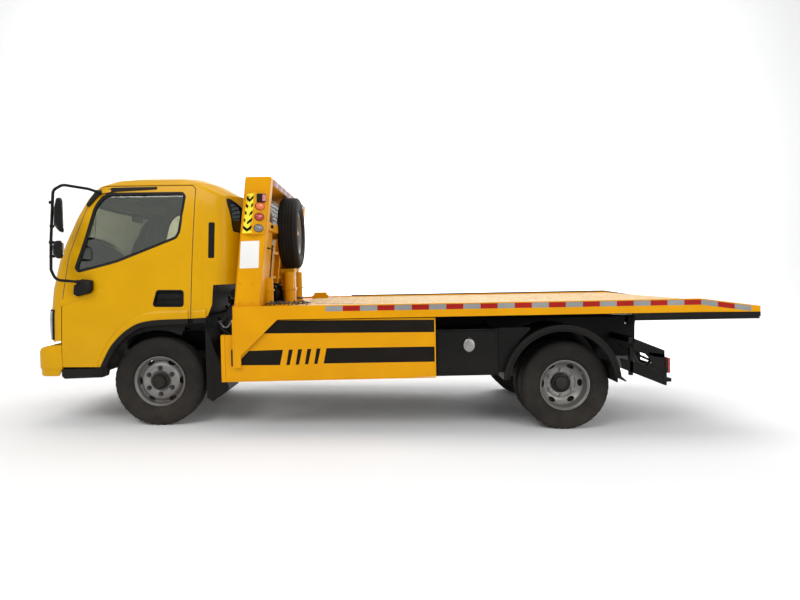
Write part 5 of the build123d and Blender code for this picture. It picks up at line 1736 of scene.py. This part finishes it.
def dress_spare():
    """The spare wheel and the frame that holds it upright."""
    centre = (SPARE_X, SPARE_Y, SPARE_Z)
    add_tyre(Shape(), centre, "x", 336, 203).to_object(
        "spare_tread", "deck", "tyre rubber", replaces=["spare_tyre"])
    wheel_disc("spare_disc", "deck", centre, "x", 1, "sunk", seat=190.5, flange=203,
               replaces=["spare_rim"])
    hold = Shape()
    hold.prism([(-240, FLOOR_Z + 4), (-120, FLOOR_Z + 4), (-120, 1330), (-240, 1330)], "x", 960,
               1090)
    hold.block((955, 1098), (-250, -110), (1120, 1150), soft=4)
    hold.tube([(900, SPARE_Y, SPARE_Z), (1126, SPARE_Y, SPARE_Z)], 26, 20)
    hold.lathe([(-14, 1), (-14, 74), (0, 74), (0, 1)], (1022, SPARE_Y, SPARE_Z), "x", 32)
    hold.block((846, 870), (-300, -60), (1560, 1770), soft=8)
    hold.to_object("spare_holder", "deck", "yellow deck paint", bevel=4)
    nut = Shape().lathe([(0, 1), (0, 40), (10, 40), (10, 1)], (1108, SPARE_Y, SPARE_Z), "x", 6)
    nut.bar((1116, -250, SPARE_Z), (1116, -110, SPARE_Z), 9, 12)
    nut.to_object("spare_clamp", "deck", "nut steel", bevel=2)


def dress_winch():
    """Winch drum with wound rope, gear case, motor, fairlead and the hook stowed at it."""
    winch = Shape()
    for y in (-256, 246):
        winch.prism(rounded([(792, 1007), (988, 1007), (970, 1176), (812, 1176)], 20), "y",
                    y - 8, y + 18)
    for y in (-222, 222):
        winch.lathe([(-6, 60), (-6, 96), (6, 96), (6, 60)], (WINCH_X, y, WINCH_Z), "y", 40)
    winch.lathe([(-120, 1), (-120, 52), (-100, 74), (-8, 78), (0, 70), (0, 1)],
                (WINCH_X, -262, WINCH_Z), "y", 40)
    winch.lathe([(0, 1), (0, 50), (8, 58), (90, 58), (100, 50), (100, 1)], (WINCH_X, 266, WINCH_Z),
                "y", 40)
    for x in (806, 974):
        for y in (-250, 250):
            winch.disc((x, y, 0), "z", 1006, 1022, 12, steps=6)
    for y in (-130, 130):
        winch.disc((1004, y, 0), "z", 1008, 1110, 15, steps=20)
    winch.block((984, 1024), (-160, 160), (1006, 1012), soft=2)
    winch.to_object("winch_frame", "deck", "black paint", bevel=2, replaces=["winch"])
    rope = Shape()
    turns = []
    for k in range(24 * 24):
        a = 2 * pi * k / 24
        turns.append((WINCH_X + 72 * cos(a), -212 + 424 * k / (24 * 24), WINCH_Z + 72 * sin(a)))
    rope.tube(turns, 7.5, 6)
    rope.lathe([(-214, 1), (-214, 66), (214, 66), (214, 1)], (WINCH_X, 0, WINCH_Z), "y", 32)
    rope.bar((WINCH_X, 40, 1030), (1022, 40, 1046), 6, 8)
    rope.to_object("winch_rope", "deck", "wire rope", sharp=60)
    hook = Shape()
    path = [(1024, 40, 1046), (1060, 40, 1046), (1096, 40, 1042), (1122, 60, 1038),
            (1112, 86, 1036), (1084, 90, 1036), (1068, 74, 1036)]
    hook.tube(rounded(path, 20, 4, closed=False), lambda t: 13 - 6 * t, 12)
    hook.lathe([(-8, 6), (-8, 20), (8, 20), (8, 6)], (1022, 40, 1046), "y", 20)
    hook.to_object("winch_hook", "deck", "cast iron", sharp=60)


def dress_chassis():
    """Running gear, tank, lines and brackets on the ladder frame."""
    gear = Shape()
    # shackle bolts, U-bolts and dampers
    for x, z, front in ((FRONT_X, FRONT_Z, True), (REAR_X, REAR_Z, False)):
        for s in (-1, 1):
            for dx in (-42, 42):
                for dy in (-36, 36):
                    low = z - 100 if front else z - 72
                    gear.bar((x + dx, s * 390 + dy, low), (x + dx, s * 390 + dy, z + 146), 7, 8)
            gear.block((x - 60, x + 60), (s * 390 - 46, s * 390 + 46),
                       ((z - 104, z - 90) if front else (z - 76, z - 62)), soft=4)
    for s in (-1, 1):
        gear.bar((FRONT_X + 60, s * 500, FRONT_Z - 10), (FRONT_X + 110, s * 470, 640), 24, 20)
        gear.bar((FRONT_X + 82, s * 487, 470), (FRONT_X + 116, s * 467, 668), 32, 20)
        gear.bar((REAR_X - 60, s * 480, REAR_Z - 30), (REAR_X - 140, s * 455, 640), 28, 20)
    gear.tube([(FRONT_X + 120, -560, FRONT_Z - 30), (FRONT_X + 120, 560, FRONT_Z - 30)], 14, 12)
    gear.to_object("dampers_and_bolts", "chassis", "black paint", bevel=1, sharp=50)
    # air tanks, battery box and exhaust along the rails
    tank = Shape()
    for x0 in (1080, 1480):
        tank.lathe([(0, 1), (6, 70), (26, 104), (330, 104), (350, 70), (356, 1)],
                   (x0, 590, 560), "x", 36)
    tank.to_object("air_tanks", "chassis", "black paint", sharp=40)
    pipe = Shape()
    pipe.lathe([(0, 1), (0, 84), (12, 96), (480, 96), (492, 84), (492, 1)], (1200, -620, 530),
               "x", 36)
    for radius, path in (
            (27, [(480, -330, 520), (760, -380, 500), (1000, -620, 520), (1210, -620, 530)]),
            (25, [(1690, -620, 530), (1900, -620, 560), (2300, -560, 470), (2340, -760, 380)])):
        pipe.tube(rounded(path, 80, 6, closed=False), radius, 16)
    pipe.to_object("exhaust", "chassis", "cast iron", sharp=45)
    # the equipment seen between the cab and the deck
    back = Shape()
    back.block((566, 700), (-560, -380), (600, 1000), soft=12)
    back.block((560, 690), (-700, -470), (700, 830), soft=10)
    back.disc((630, 0, 940), "y", -720, -300, 62)
    back.disc((630, 0, 940), "y", -728, -712, 70)
    back.bar((600, -640, 480), (600, -640, 760), 22, 16)
    back.block((556, 700), (-640, 640), (1030, 1060), soft=6)
    back.block((600, 660), (-600, -560), (780, 1150), soft=6)
    back.disc((640, 0, 1110), "y", -700, -420, 46)
    for k in range(5):
        back.bar((652, -690 + k * 34, 830), (640 + 6 * k, -690 + k * 34, 905), 5, 8)
    back.to_object("valve_block_and_filter", "chassis", "hub black", bevel=3, slot="chassis_black")
    lines = Shape()
    sets = [[(470, -640, 900), (520, -700, 840), (560, -700, 900), (600, -690, 1010),
             (560, -640, 1090)],
            [(460, -600, 890), (500, -760, 830), (590, -740, 760), (610, -700, 650)],
            [(690, -600, 760), (704, -660, 860), (640, -700, 980), (668, -640, 1120)],
            [(580, -560, 1140), (660, -640, 1090), (700, -700, 980), (690, -700, 830)],
            [(520, -560, 1000), (590, -720, 940), (650, -730, 870), (690, -640, 700)],
            [(470, -520, 700), (540, -740, 640), (620, -760, 560), (690, -700, 470)]]
    for k, path in enumerate(sets):
        lines.tube(rounded(path, 60, 6, closed=False), 9 + 3 * (k % 3), 10)
    lines.to_object("rear_hoses", "chassis", "hose rubber", sharp=60)
    coil = Shape()
    turns = []
    for k in range(16 * 18):
        a = 2 * pi * k / 16
        f = k / (16 * 18)
        turns.append((500 + 110 * f + 17 * cos(a), -735 + 17 * sin(a), 880 - 60 * sin(pi * f)))
    coil.tube(turns, 4.5, 6)
    coil.to_object("coiled_line", "chassis", "bare steel", sharp=60, slot="rod_chrome")
    clips = Shape()
    for x in range(900, 4200, 300):
        for s in (-1, 1):
            clips.block((x, x + 18), (s * 427, s * 437), (628, 724), soft=3)
            clips.disc((x + 9, 0, 700), "y", s * 437, s * 443, 8, steps=6)
    for s in (-1, 1):
        clips.bar((-700, s * 434, 655), (4180, s * 434, 655), 7, 8)
        clips.bar((-700, s * 434, 632), (4180, s * 434, 632), 5, 8)
    clips.to_object("frame_lines", "chassis", "black paint")


def dress_rear():
    """Underrun side plates, lamps, plate blank and hoses at the tail."""
    for side in ("left", "right"):
        plate = Shape()
        y = -948
        plate.prism([(4056, 683), (4062, 579), (4110, 560), (4250, 515), (4332, 506), (4334, 571)],
                    "y", y, y + 10)
        plate.prism([(3945, 514), (4025, 492), (4072, 476), (4300, 400), (4335, 300), (4334, 270),
                     (4080, 376), (3969, 421)], "y", y, y + 10)
        plate.prism([(4031, 600), (4031, 361), (4060, 361), (4062, 600)], "y", y, y + 40)
        plate.prism([(4190, 560), (4334, 540), (4334, 400), (4230, 430)], "y", y, y + 10)
        plate.block((4020, 4072), (y, -430), (640, 690), soft=6)
        put(plate, "underrun_side", "chassis", "black paint", side, bevel=2)
        hose = Shape()
        for path in ([(4070, -900, 560), (4110, -920, 470), (4180, -900, 440), (4300, -800, 480)],
                     [(4150, -880, 620), (4190, -910, 540), (4230, -900, 500), (4320, -760, 450)],
                     [(4060, -600, 600), (4160, -760, 520), (4260, -840, 470), (4330, -800, 460)]):
            hose.tube(rounded(path, 40, 6, closed=False), 11, 10)
        put(hose, "tail_hoses", "chassis", "hose rubber", side, sharp=60)
        lamp = Shape()
        lamp.prism(corners(-942, -638, 372, 506, 14), "x", 4351, 4368)
        put(lamp, "tail_lamp_case", "chassis", "black plastic", side, bevel=3)
        for name, look, a, b in (("stop", "lamp red", -932, -844),
                                 ("turn", "lamp amber", -838, -746),
                                 ("reverse", "lamp clear", -740, -648)):
            lens = Shape()
            lens.prism(corners(a, b, 384, 494, 10), "x", 4366, 4384)
            put(lens, f"tail_lamp_{name}", "chassis", look, side, bevel=4, slot="lamp_red")
        flap = Shape()
        flap.prism([(3884, 380), (3892, 386), (3938, 344), (3930, 337)], "y", -1116, -640)
        flap.block((3862, 3872), (-1095, -610), (330, 470), soft=2)
        flap.bar((3868, -1100, 470), (3868, -600, 470), 9, 10)
        flap.bar((2942, -1100, 410), (2942, -600, 410), 9, 10)
        for x, z in ((2990, 560), (3210, 760), (3620, 760), (3830, 560)):
            flap.bar((x, -1112, z), (x, -1104, z), 9, 10)
        put(flap, "mud_flaps", "chassis", "rubber seal", side, bevel=1, slot="rubber_tyre")
        lip = Shape()
        for bead in (((488, -1118), (494, -1114), (494, -1100), (480, -1100), (480, -1116)),
                     ((440, -1114), (452, -1118), (456, -1112), (452, -1106), (440, -1106))):
            rings = []
            for k in range(61):
                a = radians(6 + 168 * k / 60)
                rings.append([(FENDER_X + r * cos(a), y, FENDER_Z + r * sin(a)) for r, y in bead])
            lip.rings(rings)
        put(lip, "fender_lips", "chassis", "black plastic", side, sharp=50, slot="chassis_black")
    plate = Shape()
    plate.prism(corners(-220, 220, 430, 540, 10), "x", 4352, 4357)
    plate.to_object("rear_plate_blank", "chassis", "white film", bevel=1)
    holder = Shape()
    holder.block((4336, 4352), (-240, 240), (415, 550), soft=4)
    holder.to_object("plate_holder", "chassis", "black plastic", bevel=2)
    steps = Shape()
    for s in (-1, 1):
        for k in range(6):
            steps.block((-760 + k * 52, -732 + k * 52), (s * 922, s * 830), (505, 510), soft=1.5)
    steps.to_object("step_treads", "chassis", "rubber seal")


# ---- stage -------------------------------------------------------------------------------
def build_stage():
    """A pale floor, soft lights and the camera."""
    floor_mesh = bpy.data.meshes.new("studio_floor")
    bm = bmesh.new()
    profile = [(-14, 0), (9, 0)] + [(9 + 4 * sin(a), 4 - 4 * cos(a)) for a in
                                    [pi / 2 * k / 16 for k in range(1, 17)]] + [(13, 16)]
    rows = [[bm.verts.new((x, y, z)) for x in (-30, 30)] for y, z in profile]
    for a, b in zip(rows, rows[1:]):
        bm.faces.new((a[0], a[1], b[1], b[0]))
    bmesh.ops.recalc_face_normals(bm, faces=bm.faces[:])
    bm.to_mesh(floor_mesh)
    bm.free()
    floor_mesh.shade_smooth()
    floor = bpy.data.objects.new("studio_floor", floor_mesh)
    look = bpy.data.materials.new("studio floor")
    look.use_nodes = True
    look.node_tree.nodes.clear()
    n = Nodes(look.node_tree)
    place = n.add("ShaderNodeTexCoord").outputs["Object"]
    cloud = n.add("ShaderNodeTexNoise", Vector=place, Scale=0.6, Detail=4.0)
    tone = n.mix(cloud.outputs[0], (0.86, 0.86, 0.855, 1), (0.89, 0.89, 0.885, 1))
    shader = n.add("ShaderNodeBsdfPrincipled", Base_Color=tone)
    shader.inputs["Roughness"].default_value = 0.85
    n.link(shader, n.add("ShaderNodeOutputMaterial"), "Surface")
    floor_mesh.materials.append(look)
    stage = [floor]
    for name, at, target, size, power in (
            ("key", (-4.5, -8.5, 7.5), (0, 0, 1), 6.0, 400),
            ("fill", (6.5, -9.0, 4.0), (0.5, 0, 0.8), 7.0, 340),
            ("top", (0, 0.5, 8.5), (0, 0, 0), 8.0, 260),
            ("back", (3.0, 7.0, 6.0), (0, 0, 1.0), 6.0, 260),
            ("backdrop", (0, 4.5, 6.5), (0, 13, 3.0), 16.0, 1500)):
        light = bpy.data.lights.new(name, "AREA")
        light.shape, light.size, light.size_y, light.energy = "RECTANGLE", size, size * 0.6, power
        lamp = bpy.data.objects.new(name, light)
        lamp.location = at
        lamp.rotation_euler = (Vector(at) - Vector(target)).to_track_quat("Z", "Y").to_euler()
        stage.append(lamp)
    world = bpy.data.worlds.new("studio")
    world.use_nodes = True
    n = Nodes(world.node_tree)
    world.node_tree.nodes.clear()
    sky = n.add("ShaderNodeBackground", Color=(0.97, 0.98, 1.0, 1), Strength=0.62)
    n.link(sky, n.add("ShaderNodeOutputWorld"), "Surface")
    bpy.context.scene.world = world
    camera = bpy.data.objects.new("camera", bpy.data.cameras.new("camera"))
    yaw, pitch, roll, focal = 0.0273, 0.0394, 0.0087, 620.97
    forward = Vector((sin(yaw) * cos(pitch), cos(yaw) * cos(pitch), -sin(pitch)))
    right = Vector((cos(yaw), -sin(yaw), 0))
    up = right.cross(forward)
    across = cos(roll) * right + sin(roll) * up
    above = cos(roll) * up - sin(roll) * right
    pose = Matrix((across, above, -forward)).transposed().to_4x4()
    pose.translation = Vector((1.903 + AXLE_X, -6.180, 1.300))
    camera.data.sensor_width = 36
    camera.data.lens = 36 * focal / 800
    camera.data.clip_end = 200
    camera.matrix_world = pose
    stage.append(camera)
    for piece in stage:
        bpy.context.scene.collection.objects.link(piece)
    bpy.context.scene.camera = camera
    bpy.context.scene.view_settings.view_transform = "Standard"


# ---- add-on ------------------------------------------------------------------------------
def paint(name, text, default):
    """A colour that the panel offers."""
    return bpy.props.FloatVectorProperty(name=name, description=text, subtype="COLOR", size=3,
                                         min=0.0, max=1.0, default=default)


def metres(name, text, default):
    """A length that the panel offers, in metres."""
    return bpy.props.FloatProperty(name=name, description=text, unit="LENGTH", min=0.01,
                                   default=default)


class TowTruckSettings(bpy.types.PropertyGroup):
    """Sizes and colours of the dressing."""
    cab_yellow: paint("Cab yellow", "Paint of the cab", LOOKS["yellow paint"][0])
    deck_yellow: paint("Deck yellow", "Paint of the deck", LOOKS["yellow deck paint"][0])
    tape_white: paint("Tape white", "Light blocks of the tape", LOOKS["tape white"][0])
    tape_red: paint("Tape red", "Red blocks of the tape", LOOKS["tape red"][0])
    tape_block: metres("Tape block", "Length of one block of the rail tape", 0.140)
    tape_width: metres("Tape width", "Width of the rail tape", 0.042)
    bead_spacing: metres("Bead spacing", "Distance between the deck floor's beads", 0.120)


class TOWTRUCK_OT_solids(bpy.types.Operator):
    """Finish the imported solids"""
    bl_idname = "towtruck.solids"
    bl_label = "Dress solids"

    def execute(self, context):
        dress_solids()
        return {"FINISHED"}


class TOWTRUCK_OT_wheels(bpy.types.Operator):
    """Add tyres, discs, nuts and hubs"""
    bl_idname = "towtruck.wheels"
    bl_label = "Dress wheels"

    def execute(self, context):
        dress_wheels()
        return {"FINISHED"}


class TOWTRUCK_OT_doors(bpy.types.Operator):
    """Add seals, handles and creases to the doors"""
    bl_idname = "towtruck.doors"
    bl_label = "Dress doors"

    def execute(self, context):
        dress_doors()
        return {"FINISHED"}


class TOWTRUCK_OT_mirrors(bpy.types.Operator):
    """Add the hoop mirrors"""
    bl_idname = "towtruck.mirrors"
    bl_label = "Dress mirrors"

    def execute(self, context):
        dress_mirrors()
        return {"FINISHED"}


class TOWTRUCK_OT_cab_skin(bpy.types.Operator):
    """Add glass seals, vents and press lines"""
    bl_idname = "towtruck.cab_skin"
    bl_label = "Dress cab skin"

    def execute(self, context):
        dress_cab_skin()
        return {"FINISHED"}


class TOWTRUCK_OT_front(bpy.types.Operator):
    """Add grille, lamps and bumper fittings"""
    bl_idname = "towtruck.front"
    bl_label = "Dress front"

    def execute(self, context):
        dress_front()
        return {"FINISHED"}


class TOWTRUCK_OT_bumper(bpy.types.Operator):
    """Add the bumper's skin"""
    bl_idname = "towtruck.bumper"
    bl_label = "Dress bumper"

    def execute(self, context):
        dress_bumper()
        return {"FINISHED"}


class TOWTRUCK_OT_liners(bpy.types.Operator):
    """Add the liners over the front wheels"""
    bl_idname = "towtruck.liners"
    bl_label = "Dress arch liners"

    def execute(self, context):
        dress_arch_liners()
        return {"FINISHED"}


class TOWTRUCK_OT_cabin(bpy.types.Operator):
    """Add seats and controls"""
    bl_idname = "towtruck.cabin"
    bl_label = "Dress cabin"

    def execute(self, context):
        dress_cabin()
        return {"FINISHED"}


class TOWTRUCK_OT_belts(bpy.types.Operator):
    """Add the seat belts"""
    bl_idname = "towtruck.belts"
    bl_label = "Dress belts"

    def execute(self, context):
        dress_belts()
        return {"FINISHED"}


class TOWTRUCK_OT_guards(bpy.types.Operator):
    """Add bands, boxes, panels and black sheets of painted shade"""
    bl_idname = "towtruck.guards"
    bl_label = "Dress side guards"

    def execute(self, context):
        dress_side_guards()
        return {"FINISHED"}


class TOWTRUCK_OT_deck(bpy.types.Operator):
    """Add floor, tape and loose gear"""
    bl_idname = "towtruck.deck"
    bl_label = "Dress deck"

    def execute(self, context):
        dress_deck()
        return {"FINISHED"}


class TOWTRUCK_OT_headboard(bpy.types.Operator):
    """Add lamps, chevrons and mesh"""
    bl_idname = "towtruck.headboard"
    bl_label = "Dress headboard"

    def execute(self, context):
        dress_headboard()
        return {"FINISHED"}


class TOWTRUCK_OT_spare(bpy.types.Operator):
    """Add the spare wheel and holder"""
    bl_idname = "towtruck.spare"
    bl_label = "Dress spare wheel"

    def execute(self, context):
        dress_spare()
        return {"FINISHED"}


class TOWTRUCK_OT_winch(bpy.types.Operator):
    """Add winch and hook"""
    bl_idname = "towtruck.winch"
    bl_label = "Dress winch"

    def execute(self, context):
        dress_winch()
        return {"FINISHED"}


class TOWTRUCK_OT_chassis(bpy.types.Operator):
    """Add running gear and lines"""
    bl_idname = "towtruck.chassis"
    bl_label = "Dress chassis"

    def execute(self, context):
        dress_chassis()
        return {"FINISHED"}


class TOWTRUCK_OT_rear(bpy.types.Operator):
    """Add tail plates, lamps and flaps"""
    bl_idname = "towtruck.rear"
    bl_label = "Dress rear"

    def execute(self, context):
        dress_rear()
        return {"FINISHED"}


class TOWTRUCK_OT_stage(bpy.types.Operator):
    """Add floor, lights and camera"""
    bl_idname = "towtruck.stage"
    bl_label = "Build stage"

    def execute(self, context):
        build_stage()
        return {"FINISHED"}


OPERATORS = [TOWTRUCK_OT_solids, TOWTRUCK_OT_wheels, TOWTRUCK_OT_doors, TOWTRUCK_OT_mirrors,
             TOWTRUCK_OT_cab_skin, TOWTRUCK_OT_front, TOWTRUCK_OT_bumper, TOWTRUCK_OT_liners,
             TOWTRUCK_OT_cabin, TOWTRUCK_OT_belts, TOWTRUCK_OT_guards, TOWTRUCK_OT_deck,
             TOWTRUCK_OT_headboard, TOWTRUCK_OT_spare, TOWTRUCK_OT_winch, TOWTRUCK_OT_chassis,
             TOWTRUCK_OT_rear, TOWTRUCK_OT_stage]


class TOWTRUCK_PT_panel(bpy.types.Panel):
    """Settings, and a button for every group of pieces."""
    bl_idname = "TOWTRUCK_PT_panel"
    bl_label = "Tow Truck"
    bl_space_type = "VIEW_3D"
    bl_region_type = "UI"
    bl_category = "Tow Truck"

    def draw(self, context):
        for name in TowTruckSettings.__annotations__:
            self.layout.prop(context.scene.tow_truck, name)
        for item in OPERATORS:
            self.layout.operator(item.bl_idname)


CLASSES = [TowTruckSettings] + OPERATORS + [TOWTRUCK_PT_panel]


def register():
    for item in CLASSES:
        bpy.utils.register_class(item)
    bpy.types.Scene.tow_truck = bpy.props.PointerProperty(type=TowTruckSettings)


def unregister():
    del bpy.types.Scene.tow_truck
    for item in reversed(CLASSES):
        bpy.utils.unregister_class(item)


def main():
    """Registers the add-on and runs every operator."""
    register()
    for item in OPERATORS:
        getattr(bpy.ops.towtruck, item.bl_idname.split(".")[1])()


if __name__ == "__main__":
    main()
